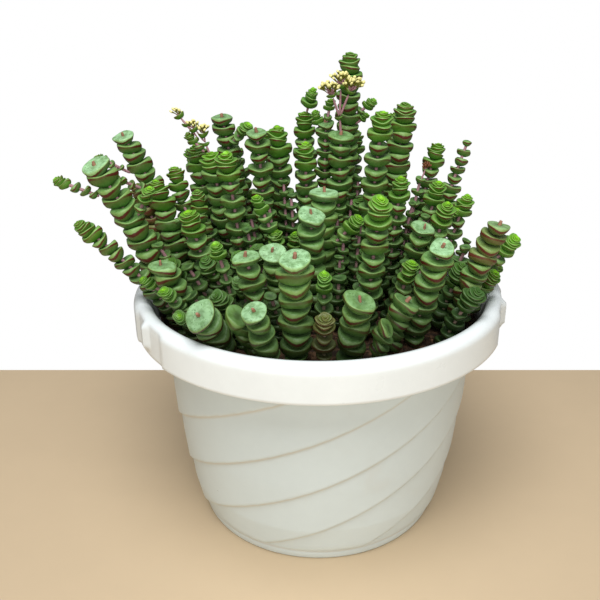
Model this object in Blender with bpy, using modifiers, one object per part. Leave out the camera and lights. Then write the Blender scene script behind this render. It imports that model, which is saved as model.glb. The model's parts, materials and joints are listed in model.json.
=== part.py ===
"""Potted crassula: a necklace crassula with dozens of shoots, rooted in a round plastic pot.

Each shoot is a thin stem threaded through fused pairs of leaves, so its solid is one beaded
column: a narrow waist at the stem and a wide rim at the edge of each leaf pair. The pot is a
turned shell with a folded rim, and the soil fills it. The origin is the centre of the pot's
underside, +Z is up and -Y is the front. Lengths in the tables are in millimetres.
"""

import math
from collections import namedtuple

import bpy
import numpy as np
from mathutils import Vector

MM = 0.001

# Pot: a six inch injection moulded shell.
RIM_RADIUS = 76.0
RIM_HEIGHT = 15.0
RIM_ROUNDING = 3.8
POT_HEIGHT = 101.3
SKIRT_WALL = 2.4
SKIRT_DEPTH = 8.0
MOUTH_RADIUS = 68.5
FOOT_RADIUS = 52.0
FOOT_HEIGHT = 4.0
BELLY_RADIUS = 57.5
BELLY_HEIGHT = 18.0
NECK_RADIUS = 65.0
NECK_HEIGHT = 83.5
COLLAR_RADIUS = 68.6
FLOOR_THICKNESS = 2.6
WALL = 2.2
TURN_STEPS = 48

# Soil: it fills the pot to a finger's width below the rim.
SOIL_LEVEL = 88.0

# Touching solids keep this gap.
GAP = 0.3

# Shoots: one leaf pair for every PAIR_PITCH of stem.
PAIR_PITCH = 5.6
STEM_RADIUS = 1.1
WAIST_SHARE = 0.45
WAIST_PLACE = 0.12
RIM_PLACE = 0.78
START_LEAN = 0.32
YOUNG_PAIRS = (0.42, 0.66, 0.86)
FIRST_PAIR = 0.66

# A foot stands under its tip, nearer the axis by FOOT_SHARE and never further out than FOOT_REACH.
FOOT_SHARE = 0.82
FOOT_REACH = 58.0

# Crowded shoots push each other apart, in small rounds, until they stand clear.
STATIONS = 13
FOOT_SWELL = 4.0
CLEARANCE = 0.6
LEAST_CLEARANCE = 0.4
SETTLE_ROUNDS = 500
PUSH = 0.25
PULL_BACK = 0.015
UPWARD_PUSH = 0.3
WALL_REACH = 66.0

# Flower heads, as (stalk length, head radius, head height).
HEADS = {"umbel": (17.0, 9.0, 9.0), "buds": (9.0, 5.0, 6.0), "dry": (6.0, 4.0, 4.0)}

Shoot = namedtuple("Shoot", "across depth height radius top swing", defaults=(0.0,))

# A shoot is given by its tip: how far across (+X) and back (+Y) of the axis it is, and how high.
# Its radius is that of its widest leaves, and its top is a cut stump, a young rosette, or a
# flower stalk with its head. Swing turns its foot round the pot, in degrees, for a shoot that
# sweeps sideways as it leans.
SHOOTS = {
    "front": (
        Shoot(-8, -60, 134, 6.0, "cut"),
        Shoot(-26, -42, 128, 5.0, "cut"),
        Shoot(-22, -65, 117, 5.0, "cut"),
        Shoot(-40, -62, 113, 6.0, "cut"),
        Shoot(-30, -56, 110, 4.5, "rosette"),
        Shoot(2, -60, 112, 3.5, "rosette"),
        Shoot(14, -58, 118, 6.0, "cut"),
        Shoot(31, -50, 114, 5.0, "cut"),
        Shoot(23, -60, 108, 4.0, "rosette"),
        Shoot(44, -40, 131, 5.5, "cut"),
        Shoot(2, -38, 119, 3.5, "rosette"),
    ),
    "left": (
        Shoot(-89, 2, 151, 6.0, "cut", 15),
        Shoot(-88, 45, 154, 5.5, "cut", 8),
        Shoot(-92, -17, 132, 4.0, "rosette", 15),
        Shoot(-70, 24, 138, 5.5, "rosette", 8),
        Shoot(-58, -35, 122, 5.5, "cut"),
        Shoot(-51, -12, 135, 4.5, "rosette"),
        Shoot(-39, -26, 127, 3.0, "rosette"),
    ),
    "right": (
        Shoot(66, -30, 136, 5.0, "cut"),
        Shoot(74, -5, 110, 4.0, "rosette", 10),
        Shoot(77, -14, 125, 4.0, "rosette"),
        Shoot(69, -20, 113, 4.5, "rosette"),
        Shoot(66, 42, 151, 4.5, "rosette"),
        Shoot(63, 18, 133, 4.0, "rosette"),
        Shoot(53, 6, 133, 4.5, "rosette"),
    ),
    "middle": (
        Shoot(-38, 10, 153, 5.0, "rosette"),
        Shoot(-47, 30, 150, 5.5, "buds"),
        Shoot(-27, 34, 158, 5.0, "cut"),
        Shoot(-6, 34, 152, 5.0, "rosette"),
        Shoot(-18, 0, 124, 3.5, "rosette"),
        Shoot(-10, 5, 121, 3.5, "rosette"),
        Shoot(-17, -28, 125, 5.5, "cut"),
        Shoot(-3, -16, 136, 6.0, "cut"),
        Shoot(2, 6, 139, 6.0, "cut"),
        Shoot(26, 18, 168, 5.0, "rosette"),
        Shoot(35, 18, 141, 4.5, "rosette"),
        Shoot(22, -34, 146, 5.0, "rosette"),
        Shoot(35, -28, 120, 4.0, "rosette"),
        Shoot(42, -4, 127, 5.0, "cut"),
        Shoot(52, 26, 137, 4.5, "rosette"),
        Shoot(46, 40, 136, 3.5, "dry"),
    ),
    "back": (
        Shoot(-55, 44, 150, 5.5, "rosette"),
        Shoot(-45, 60, 160, 5.5, "cut"),
        Shoot(-19, 52, 156, 5.5, "rosette"),
        Shoot(-7, 68, 160, 5.0, "rosette"),
        Shoot(10, 42, 156, 5.5, "umbel"),
        Shoot(3, 54, 158, 4.0, "rosette"),
        Shoot(14, 60, 187, 5.5, "rosette"),
        Shoot(36, 65, 160, 4.0, "rosette"),
        Shoot(39, 50, 167, 5.5, "cut"),
        Shoot(-24, 75, 150, 5.0, "rosette"),
        Shoot(18, 79, 150, 5.0, "cut"),
        Shoot(-60, 58, 145, 5.0, "rosette"),
        Shoot(56, 59, 147, 5.0, "rosette"),
        Shoot(38, 76, 151, 5.0, "cut"),
        Shoot(-44, 70, 149, 5.0, "rosette"),
    ),
}

# Side shoots, as (parent, share of its length, growth from its flank to the tip, leaf radius).
FLANK_ROOM = 2.6
SIDE_SHOOTS = (
    ("left_shoot_1", 0.75, (-19, 4, 6), 3.2),
    ("left_shoot_2", 0.7, (-15, -3, 9), 3.2),
)

POT_WHITE = (0.86, 0.87, 0.85)
SOIL_BROWN = (0.045, 0.03, 0.02)
LEAF_GREEN = (0.10, 0.25, 0.08)
YOUNG_GREEN = (0.20, 0.42, 0.04)


def new_collection(name):
    collection = bpy.data.collections.new(name)
    bpy.context.scene.collection.children.link(collection)
    return collection


def principled(name, colour, roughness):
    material = bpy.data.materials.new(name)
    material.use_nodes = True
    shader = material.node_tree.nodes["Principled BSDF"]
    shader.inputs["Base Color"].default_value = (*colour, 1.0)
    shader.inputs["Roughness"].default_value = roughness
    shader.inputs["Metallic"].default_value = 0.0
    return material


def arc(centre_r, centre_z, radius, start_deg, end_deg, count):
    """Profile points (r, z) along an arc, with both ends."""
    points = []
    for i in range(count):
        angle = math.radians(start_deg + (end_deg - start_deg) * i / (count - 1))
        points.append((centre_r + radius * math.cos(angle), centre_z + radius * math.sin(angle)))
    return points


def turned(name, profile, material, collection):
    """A solid turned round Z from a profile of (r, z) points that starts and ends on the axis."""
    mesh = bpy.data.meshes.new(name)
    edges = [(i, i + 1) for i in range(len(profile) - 1)]
    mesh.from_pydata([(r * MM, 0.0, z * MM) for r, z in profile], edges, [])
    solid = bpy.data.objects.new(name, mesh)
    collection.objects.link(solid)
    screw = solid.modifiers.new("turn", "SCREW")
    screw.angle = math.tau
    screw.steps = TURN_STEPS
    screw.render_steps = TURN_STEPS
    screw.use_merge_vertices = True
    screw.merge_threshold = 0.00001
    screw.use_smooth_shade = True
    mesh.materials.append(material)
    return solid


def pot_profile():
    """The shell's outline, up the inside, over the lip, and down the outside to the underside."""
    skirt_foot = POT_HEIGHT - RIM_HEIGHT
    rim_centre_z = POT_HEIGHT - RIM_ROUNDING
    inside = [
        (0.0, FLOOR_THICKNESS),
        (FOOT_RADIUS - WALL, FLOOR_THICKNESS),
        (BELLY_RADIUS - WALL, BELLY_HEIGHT),
        (NECK_RADIUS - WALL, NECK_HEIGHT),
        (COLLAR_RADIUS - WALL, SOIL_LEVEL + 1.0),
        (MOUTH_RADIUS, rim_centre_z),
    ]
    lip = arc(MOUTH_RADIUS + RIM_ROUNDING, rim_centre_z, RIM_ROUNDING, 150, 90, 3)
    shoulder = arc(RIM_RADIUS - RIM_ROUNDING, rim_centre_z, RIM_ROUNDING, 90, 0, 4)
    outside = [
        (RIM_RADIUS, skirt_foot),
        (RIM_RADIUS - SKIRT_WALL, skirt_foot),
        (RIM_RADIUS - SKIRT_WALL, skirt_foot + SKIRT_DEPTH),
        (MOUTH_RADIUS + WALL, skirt_foot + SKIRT_DEPTH),
        (COLLAR_RADIUS, SOIL_LEVEL + 1.5),
        (NECK_RADIUS, NECK_HEIGHT),
        (BELLY_RADIUS + 3.4, 40.0),
        (BELLY_RADIUS, BELLY_HEIGHT),
        (FOOT_RADIUS + 2.2, 8.0),
        (FOOT_RADIUS, FOOT_HEIGHT),
        (FOOT_RADIUS, 0.0),
        (0.0, 0.0),
    ]
    return inside + lip + shoulder + outside


def soil_profile():
    """The soil's outline: it follows the pot's inner wall with a small gap."""
    return [
        (0.0, SOIL_LEVEL),
        (COLLAR_RADIUS - WALL - 3.0 * GAP, SOIL_LEVEL),
        (NECK_RADIUS - WALL - GAP, NECK_HEIGHT),
        (BELLY_RADIUS - WALL - GAP, BELLY_HEIGHT),
        (FOOT_RADIUS - WALL - GAP, FLOOR_THICKNESS + GAP),
        (0.0, FLOOR_THICKNESS + GAP),
    ]


def sway(share):
    """How far out a shoot has leaned at a share of its height: it leaves the soil steeply."""
    return 2.0 * START_LEAN * share * (1.0 - share) + share**2


def bend(foot, tip, share):
    """A point on a shoot's centreline."""
    lean = sway(share)
    return foot + (tip - foot) * Vector((lean, lean, share))


def foot_of(shoot):
    """Where a shoot would stand if it had the pot to itself."""
    reach = math.hypot(shoot.across, shoot.depth)
    bearing = math.atan2(shoot.depth, shoot.across) + math.radians(shoot.swing)
    out = min(FOOT_REACH, reach * FOOT_SHARE)
    return (out * math.cos(bearing), out * math.sin(bearing), SOIL_LEVEL + GAP)


def stations(feet, tips, rises):
    """Points along every centreline, and one more in the middle of its flower head."""
    shares = np.linspace(0.0, 1.0, STATIONS)
    moves = np.stack([sway(shares), sway(shares), shares], axis=1)
    points = feet[:, None] + (tips - feet)[:, None] * moves
    upwards = tips - points[:, -2]
    upwards /= np.linalg.norm(upwards, axis=1)[:, None]
    heads = tips + upwards * rises[:, None]
    return np.concatenate([points, heads[:, None]], axis=1)


def station_sizes(radii, shoots):
    """The room that each shoot needs at its stations: less at the foot, more at a head."""
    shares = np.linspace(0.0, 1.0, STATIONS)
    sizes = np.outer(radii, np.minimum(1.0, FIRST_PAIR + FOOT_SWELL * shares))
    heads = [HEADS[shoot.top][1] if shoot.top in HEADS else radius
             for shoot, radius in zip(shoots, radii)]
    return np.concatenate([sizes, np.array(heads)[:, None]], axis=1)


def neighbour_pushes(points, sizes, room):
    """The deepest overlap of each pair, the way out of it, and the station where it is."""
    count, steps = sizes.shape
    distance = np.linalg.norm(points[:, None, :, None] - points[None, :, None, :], axis=-1)
    overlap = sizes[:, None, :, None] + sizes[None, :, None, :] + room - distance
    overlap[np.arange(count), np.arange(count)] = -1.0
    flat = overlap.reshape(count, count, steps * steps)
    here, there = np.divmod(flat.argmax(axis=2), steps)
    rows = np.arange(count)
    way = points[rows[:, None], here] - points[rows[None, :], there]
    way /= np.linalg.norm(way, axis=2)[..., None] + 1e-9
    way[..., 2] *= UPWARD_PUSH
    return np.maximum(0.0, flat.max(axis=2)), way, here


def rim_pushes(points, sizes):
    """The deepest overlap of each shoot with the rolled rim, the way out, and the station."""
    reach = np.hypot(points[..., 0], points[..., 1])
    out = reach - (RIM_RADIUS - RIM_ROUNDING)
    up = points[..., 2] - (POT_HEIGHT - RIM_ROUNDING)
    near = np.hypot(out, up)
    overlap = sizes + RIM_ROUNDING + CLEARANCE - near
    here = overlap.argmax(axis=1)
    rows = np.arange(len(points))
    scale = out / (reach * near)
    way = np.stack([points[..., 0] * scale, points[..., 1] * scale, up / near], axis=-1)
    return np.maximum(0.0, overlap[rows, here]), way[rows, here], here


def settle(shoots):
    """Feet, tips and leaf radii for all the shoots once they have made room for each other."""
    feet = np.array([foot_of(shoot) for shoot in shoots])
    tips = np.array([(shoot.across, shoot.depth, shoot.height) for shoot in shoots], float)
    radii = np.array([float(shoot.radius) for shoot in shoots])
    rises = np.array([HEADS[shoot.top][0] + 0.5 * HEADS[shoot.top][2] if shoot.top in HEADS
                      else 0.0 for shoot in shoots])
    wanted = tips.copy()
    hold = np.append(sway(np.linspace(0.0, 1.0, STATIONS)), 1.0)
    sizes = station_sizes(radii, shoots)
    for _ in range(SETTLE_ROUNDS):
        points = stations(feet, tips, rises)
        depth, way, here = neighbour_pushes(points, sizes, CLEARANCE)
        push = way * (depth * PUSH)[..., None]
        tips += (push * hold[here][..., None]).sum(axis=1)
        feet += (push * (1.0 - hold[here])[..., None]).sum(axis=1)
        depth, way, here = rim_pushes(points, sizes)
        push = way * (depth * PUSH)[:, None]
        tips += push * hold[here][:, None]
        feet += push * (1.0 - hold[here])[:, None]
        reach = np.hypot(feet[:, 0], feet[:, 1])
        feet[:, :2] *= np.minimum(1.0, (WALL_REACH - radii) / reach)[:, None]
        feet[:, 2] = SOIL_LEVEL + GAP
        tips += (wanted - tips) * PULL_BACK
    points = stations(feet, tips, rises)
    for _ in range(STATIONS):
        depth, _, _ = neighbour_pushes(points, station_sizes(radii, shoots), LEAST_CLEARANCE)
        radii -= 0.5 * depth.max(axis=1)
    return feet, tips, radii


def leaf_beads(pairs, radius, top):
    """(share of the length, radius) down to each waist and rim, in order from the foot."""
    beads = []
    for pair in range(pairs):
        size = radius
        left = pairs - 1 - pair
        if top != "cut" and left < len(YOUNG_PAIRS):
            size = radius * YOUNG_PAIRS[left]
        if pair == 0:
            size *= FIRST_PAIR
        beads.append(((pair + WAIST_PLACE) / pairs, max(size * WAIST_SHARE, STEM_RADIUS)))
        beads.append(((pair + RIM_PLACE) / pairs, size))
    last = 1.0 if top != "cut" else (pairs - 1 + RIM_PLACE + 0.1) / pairs
    beads.append((last, STEM_RADIUS))
    return beads


def head_beads(top):
    """(height above the last leaves, radius) up a flower stalk and round its head."""
    stalk, radius, height = HEADS[top]
    rise = ((0.5, STEM_RADIUS), (1.0, STEM_RADIUS))
    head = ((0.45, 1.0), (0.8, 0.9), (1.0, 0.4))
    beads = [(stalk * share, size) for share, size in rise]
    return beads + [(stalk + height * share, radius * size) for share, size in head]


def beaded_column(name, points, material, collection):
    """A closed six sided tube through (place, radius) points."""
    curve = bpy.data.curves.new(name, "CURVE")
    curve.dimensions = "3D"
    curve.bevel_depth = MM
    curve.bevel_resolution = 1
    curve.use_fill_caps = True
    spline = curve.splines.new("POLY")
    spline.points.add(len(points) - 1)
    for point, (place, radius) in zip(spline.points, points):
        point.co = (*(place * MM), 1.0)
        point.radius = radius
    column = bpy.data.objects.new(name, curve)
    collection.objects.link(column)
    curve.materials.append(material)
    return column


def make_shoot(name, foot, tip, radius, top, materials, collection):
    """One rooted shoot, with its flower head if its top has one."""
    pairs = max(3, round((tip - foot).length / PAIR_PITCH))
    beads = leaf_beads(pairs, radius, top)
    points = [(bend(foot, tip, share), size) for share, size in beads]
    if top in HEADS:
        upwards = (tip - bend(foot, tip, 0.8)).normalized()
        points += [(tip + upwards * height, size) for height, size in head_beads(top)]
    return beaded_column(name, points, materials[top], collection)


def make_side_shoot(name, parent, share, growth, radius, material, collection):
    """A side shoot that leaves the flank of a parent, given as (foot, tip, radius)."""
    foot, tip, parent_radius = parent
    growth = Vector(growth)
    start = bend(foot, tip, share) + growth.normalized() * (parent_radius + FLANK_ROOM)
    end = start + growth
    pairs = max(2, round(growth.length / PAIR_PITCH))
    beads = leaf_beads(pairs, radius, "rosette")
    points = [(start.lerp(end, place), size) for place, size in beads]
    return beaded_column(name, points, material, collection)


def main():
    for leftover in list(bpy.data.objects):
        bpy.data.objects.remove(leftover, do_unlink=True)
    collection = new_collection("potted_crassula")
    white = principled("pot_white", POT_WHITE, 0.35)
    brown = principled("soil_brown", SOIL_BROWN, 0.95)
    mature = principled("leaf_green", LEAF_GREEN, 0.5)
    young = principled("young_green", YOUNG_GREEN, 0.45)
    materials = {"cut": mature, "umbel": mature, "buds": mature, "dry": mature, "rosette": young}
    turned("pot", pot_profile(), white, collection)
    turned("soil", soil_profile(), brown, collection)
    names = [f"{place}_shoot_{number}" for place, shoots in SHOOTS.items()
             for number in range(1, len(shoots) + 1)]
    shoots = [shoot for group in SHOOTS.values() for shoot in group]
    parents = {}
    for name, shoot, foot, tip, radius in zip(names, shoots, *settle(shoots)):
        parents[name] = (Vector(foot), Vector(tip), float(radius))
        make_shoot(name, *parents[name], shoot.top, materials, collection)
    for number, (parent, share, growth, radius) in enumerate(SIDE_SHOOTS, start=1):
        make_side_shoot(f"side_shoot_{number}", parents[parent], share, growth, radius, young,
                        collection)


main()
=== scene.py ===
"""The look of the potted crassula: a necklace crassula with dozens of shoots in a white plastic pot.

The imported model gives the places. This script dresses it: the moulded pot with its rising
bands and hanger ribs, the potting soil, the shoots threaded with fused leaf pairs, the young
growth between them, and the flower heads. Lengths in the tables are in millimetres.
"""

import json
import logging
import math
import random
from dataclasses import dataclass, field
from enum import Enum

import bmesh
import bpy
import numpy as np
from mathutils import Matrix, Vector, noise

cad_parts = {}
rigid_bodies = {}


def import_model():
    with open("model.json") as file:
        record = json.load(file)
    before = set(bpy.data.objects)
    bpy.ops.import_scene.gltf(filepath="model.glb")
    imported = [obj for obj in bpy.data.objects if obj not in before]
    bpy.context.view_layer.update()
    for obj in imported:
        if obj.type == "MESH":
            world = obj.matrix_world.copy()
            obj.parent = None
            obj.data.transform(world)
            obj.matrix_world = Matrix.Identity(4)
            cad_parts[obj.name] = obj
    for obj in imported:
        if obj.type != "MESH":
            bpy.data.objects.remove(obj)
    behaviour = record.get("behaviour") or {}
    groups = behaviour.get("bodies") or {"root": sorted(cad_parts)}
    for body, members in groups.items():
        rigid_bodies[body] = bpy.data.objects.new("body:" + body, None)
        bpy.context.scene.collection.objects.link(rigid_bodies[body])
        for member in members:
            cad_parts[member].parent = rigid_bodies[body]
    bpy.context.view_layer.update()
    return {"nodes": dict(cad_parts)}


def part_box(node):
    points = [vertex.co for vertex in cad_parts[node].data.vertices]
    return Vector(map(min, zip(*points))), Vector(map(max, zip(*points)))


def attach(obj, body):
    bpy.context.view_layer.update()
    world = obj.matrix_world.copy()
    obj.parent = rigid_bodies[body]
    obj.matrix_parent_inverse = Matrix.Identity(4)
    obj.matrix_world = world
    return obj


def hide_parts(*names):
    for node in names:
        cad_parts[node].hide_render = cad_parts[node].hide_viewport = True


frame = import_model()

LOG = logging.getLogger("potted_crassula")
MM = 0.001
SOIL_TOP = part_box("soil")[1].z / MM
RIM_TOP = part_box("pot")[1].z / MM
RIM_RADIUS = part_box("pot")[1].x / MM


def srgb(red: int, green: int, blue: int) -> tuple[float, float, float, float]:
    """A display colour as the linear colour that shaders take.

    Args:
        red: the red share, from 0 to 255.
        green: the green share.
        blue: the blue share.

    Returns:
        The linear colour, opaque.
    """
    linear = []
    for value in (red, green, blue):
        share = value / 255.0
        linear.append(share / 12.92 if share <= 0.04045 else ((share + 0.055) / 1.055) ** 2.4)
    return (*linear, 1.0)


def held(value: float) -> float:
    """The value, held between 0 and 1."""
    return min(1.0, max(0.0, value))


def smooth(value: float) -> float:
    """A smooth step from 0 to 1."""
    share = held(value)
    return share * share * (3.0 - 2.0 * share)


# ---------------------------------------------------------------- node graphs


class Graph:
    """Adds nodes to one node tree and wires them as it goes."""

    def __init__(self, tree: bpy.types.NodeTree) -> None:
        """Starts from the tree as it is."""
        self.tree = tree

    def feed(self, target: bpy.types.NodeSocket, value) -> None:
        """Gives an input a value, or a wire from another socket.

        Args:
            target: the input.
            value: a plain value or a socket.
        """
        if isinstance(value, bpy.types.NodeSocket):
            self.tree.links.new(value, target)
        else:
            target.default_value = value

    def add(self, kind: str, feeds: dict | None = None, **settings) -> bpy.types.Node:
        """Adds one node.

        Args:
            kind: the node's type name.
            feeds: values or sockets for its inputs, by name or number.
            settings: the node's own settings.

        Returns:
            The new node.
        """
        node = self.tree.nodes.new(kind)
        for name, value in settings.items():
            setattr(node, name, value)
        for key, value in (feeds or {}).items():
            self.feed(node.inputs[key], value)
        return node

    def group(self, tree: bpy.types.NodeTree, **feeds) -> bpy.types.NodeOutputs:
        """The outputs of a node group that is placed with its own values."""
        return self.add("ShaderNodeGroup", feeds, node_tree=tree).outputs

    def math(self, operation: str, *values, clamp: bool = False) -> bpy.types.NodeSocket:
        """A Math node's result, for two numbers or sockets."""
        return self.add("ShaderNodeMath", dict(enumerate(values)), operation=operation,
                        use_clamp=clamp).outputs[0]

    def times(self, first, second, clamp: bool = False) -> bpy.types.NodeSocket:
        """The product of two values."""
        return self.math("MULTIPLY", first, second, clamp=clamp)

    def plus(self, first, second, clamp: bool = False) -> bpy.types.NodeSocket:
        """The sum of two values."""
        return self.math("ADD", first, second, clamp=clamp)

    def minus(self, first, second, clamp: bool = False) -> bpy.types.NodeSocket:
        """The first value less the second."""
        return self.math("SUBTRACT", first, second, clamp=clamp)

    def scaled(self, vector, gain) -> bpy.types.NodeSocket:
        """A vector or colour multiplied by a number."""
        feeds = {0: vector, "Scale": gain}
        return self.add("ShaderNodeVectorMath", feeds, operation="SCALE").outputs[0]

    def fade(self, value, low: float, high: float) -> bpy.types.NodeSocket:
        """A smooth step; low may be above high.

        Args:
            value: the value that it follows.
            low: where it is 0.
            high: where it is 1.

        Returns:
            The step, from 0 to 1.
        """
        feeds = {"Value": value, "From Min": low, "From Max": high}
        node = self.add("ShaderNodeMapRange", feeds, interpolation_type="SMOOTHSTEP")
        return node.outputs["Result"]

    def mix(self, share, first, second) -> bpy.types.NodeSocket:
        """The first colour where share is 0 and the second where it is 1."""
        feeds = {0: share, 6: first, 7: second}
        return self.add("ShaderNodeMix", feeds, data_type="RGBA").outputs[2]

    def attribute(self, name: str) -> bpy.types.NodeSocket:
        """A mesh attribute's value."""
        return self.add("ShaderNodeAttribute", attribute_name=name).outputs["Fac"]

    def noise(self, place, scale, detail: float = 3.0,
              rough: float = 0.55) -> bpy.types.NodeSocket:
        """A noise value round 0.5 at a place."""
        feeds = {"Vector": place, "Scale": scale, "Detail": detail, "Roughness": rough}
        return self.add("ShaderNodeTexNoise", feeds).outputs["Fac"]

    def cells(self, place, scale) -> bpy.types.NodeOutputs:
        """Distance and Color of scattered cells at a place."""
        feeds = {"Vector": place, "Scale": scale, "Randomness": 1.0}
        return self.add("ShaderNodeTexVoronoi", feeds).outputs


class GroupGraph(Graph):
    """The graph of a new node group, with its given inputs and their identifiers."""

    def __init__(self, name: str, kind: str, inputs: tuple, outputs: tuple) -> None:
        """Makes the group and its sockets.

        Args:
            name: the group's name.
            kind: Shader or Geometry.
            inputs: the name, type and default of each input.
            outputs: the name and type of each output.
        """
        super().__init__(bpy.data.node_groups.new(name, kind + "NodeTree"))
        self.ids = {key: self._socket(key, "INPUT", sort, value) for key, sort, value in inputs}
        for key, sort in outputs:
            self._socket(key, "OUTPUT", sort)
        self.given = self.add("NodeGroupInput").outputs

    def _socket(self, name: str, way: str, sort: str, value=None) -> str:
        """Adds one socket.

        Args:
            name: the socket's name.
            way: INPUT or OUTPUT.
            sort: its type, such as Float or Color.
            value: the input's default.

        Returns:
            The socket's identifier.
        """
        made = self.tree.interface.new_socket(name, in_out=way, socket_type="NodeSocket" + sort)
        if value is not None:
            made.default_value = value
        return made.identifier

    def close(self, *results: bpy.types.NodeSocket) -> bpy.types.NodeTree:
        """Wires the results to the outputs in order and gives the tree."""
        self.add("NodeGroupOutput", dict(enumerate(results)))
        return self.tree


class SharedEffects:
    """Shader node groups that several finishes use."""

    def __init__(self) -> None:
        """Builds every group once."""
        self.mottle = self._mottle()
        self.bloom = self._bloom()
        self.dust = self._dust()

    @staticmethod
    def _mottle() -> bpy.types.NodeTree:
        """Slow and fine variation of a colour: Color and a Fine value for bump."""
        g = GroupGraph("Colour mottling", "Shader", (
            ("Color", "Color", (0.5, 0.5, 0.5, 1)), ("Place", "Vector", None),
            ("Scale", "Float", 100.0), ("Amount", "Float", 0.15),
        ), (("Color", "Color"), ("Fine", "Float")))
        place, scale = g.given["Place"], g.given["Scale"]
        slow = g.noise(place, scale, 3.0, 0.5)
        fine = g.noise(place, g.times(scale, 7.0), 4.0, 0.6)
        both = g.plus(g.times(slow, 1.5), g.times(fine, 0.7))
        swing = g.times(g.minus(both, 1.1), g.given["Amount"])
        gain = g.plus(g.times(swing, 2.0), 1.0)
        return g.close(g.scaled(g.given["Color"], gain), fine)

    @staticmethod
    def _bloom() -> bpy.types.NodeTree:
        """The waxy grey bloom on succulent skin, with the tiny dark pores in it."""
        g = GroupGraph("Waxy bloom", "Shader", (
            ("Skin", "Color", (0.1, 0.3, 0.1, 1)), ("Wax", "Color", (0.4, 0.6, 0.4, 1)),
            ("Place", "Vector", None), ("Amount", "Float", 0.5), ("Pores", "Float", 0.4),
        ), (("Color", "Color"), ("Pore", "Float")))
        place, skin = g.given["Place"], g.given["Skin"]
        streak = g.fade(g.noise(place, 420.0, 4.0, 0.6), 0.30, 0.72)
        share = g.times(g.given["Amount"], g.plus(g.times(streak, 0.85), 0.35), clamp=True)
        waxed = g.mix(share, skin, g.given["Wax"])
        some = g.fade(g.noise(place, 650.0, 2.0), 0.42, 0.62)
        pore = g.times(g.fade(g.cells(place, 1350.0)["Distance"], 0.34, 0.16), some)
        pore = g.times(pore, g.given["Pores"])
        return g.close(g.mix(pore, waxed, g.scaled(skin, 0.5)), pore)

    @staticmethod
    def _dust() -> bpy.types.NodeTree:
        """Scattered specks of soil and faint smudges: a Mask from 0 to 1."""
        g = GroupGraph("Soil specks", "Shader", (
            ("Place", "Vector", None), ("Scale", "Float", 300.0),
            ("Rarity", "Float", 0.6), ("Size", "Float", 0.12),
        ), (("Mask", "Float"),))
        cells = g.cells(g.given["Place"], g.given["Scale"])
        bent = g.times(g.noise(g.given["Place"], 2500.0, 2.0), 0.10)
        near = g.math("LESS_THAN", g.plus(cells["Distance"], bent),
                      g.plus(g.given["Size"], 0.05))
        lucky = g.add("ShaderNodeSeparateColor", {0: cells["Color"]}).outputs[0]
        return g.close(g.times(near, g.math("GREATER_THAN", lucky, g.given["Rarity"])))


class MaterialGraph(Graph):
    """The graph of one material, with its shader, its places and the shared effects."""

    def __init__(self, material: bpy.types.Material, effects: SharedEffects) -> None:
        """Starts from a new material's own Principled shader.

        Args:
            material: the new material.
            effects: the shared node groups.
        """
        super().__init__(material.node_tree)
        self.effects = effects
        self.shader = material.node_tree.nodes["Principled BSDF"].inputs
        self.place = self.add("ShaderNodeTexCoord").outputs["Object"]

    def height(self) -> bpy.types.NodeSocket:
        """How high a place is, in metres."""
        return self.add("ShaderNodeSeparateXYZ", {0: self.place}).outputs["Z"]

    def spots(self, scale: float, detail: float = 3.0,
              rough: float = 0.55) -> bpy.types.NodeSocket:
        """A noise value round 0.5 over the surface."""
        return self.noise(self.place, scale, detail, rough)

    def mottled(self, colour, scale: float, amount: float) -> bpy.types.NodeOutputs:
        """A colour with slow and fine variation, as Color and Fine."""
        return self.group(self.effects.mottle, Color=colour, Place=self.place, Scale=scale,
                          Amount=amount)

    def bump(self, height, distance_mm: float, strength: float) -> None:
        """Feeds a height into the shader's Normal.

        Args:
            height: the height over the surface.
            distance_mm: how far a height of 1 stands out, in millimetres.
            strength: the share of it that shows.
        """
        feeds = {"Height": height, "Distance": distance_mm * MM, "Strength": strength}
        self.feed(self.shader["Normal"], self.add("ShaderNodeBump", feeds).outputs["Normal"])


# ---------------------------------------------------------------- finishes


@dataclass(frozen=True)
class Finish:
    """A material's name and plain shader numbers; each kind adds its own nodes."""

    name: str
    roughness: float = 0.5
    specular: float = 0.5

    def build(self, effects: SharedEffects) -> bpy.types.Material:
        """Makes the material.

        Args:
            effects: the shared node groups.

        Returns:
            The finished material.
        """
        material = bpy.data.materials.new(self.name)
        material.use_nodes = True
        g = MaterialGraph(material, effects)
        g.shader["Roughness"].default_value = self.roughness
        g.shader["Specular IOR Level"].default_value = self.specular
        self.dress(g)
        return material

    def dress(self, g: MaterialGraph) -> None:
        """Adds the finish's own nodes; a plain finish has none."""


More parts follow.
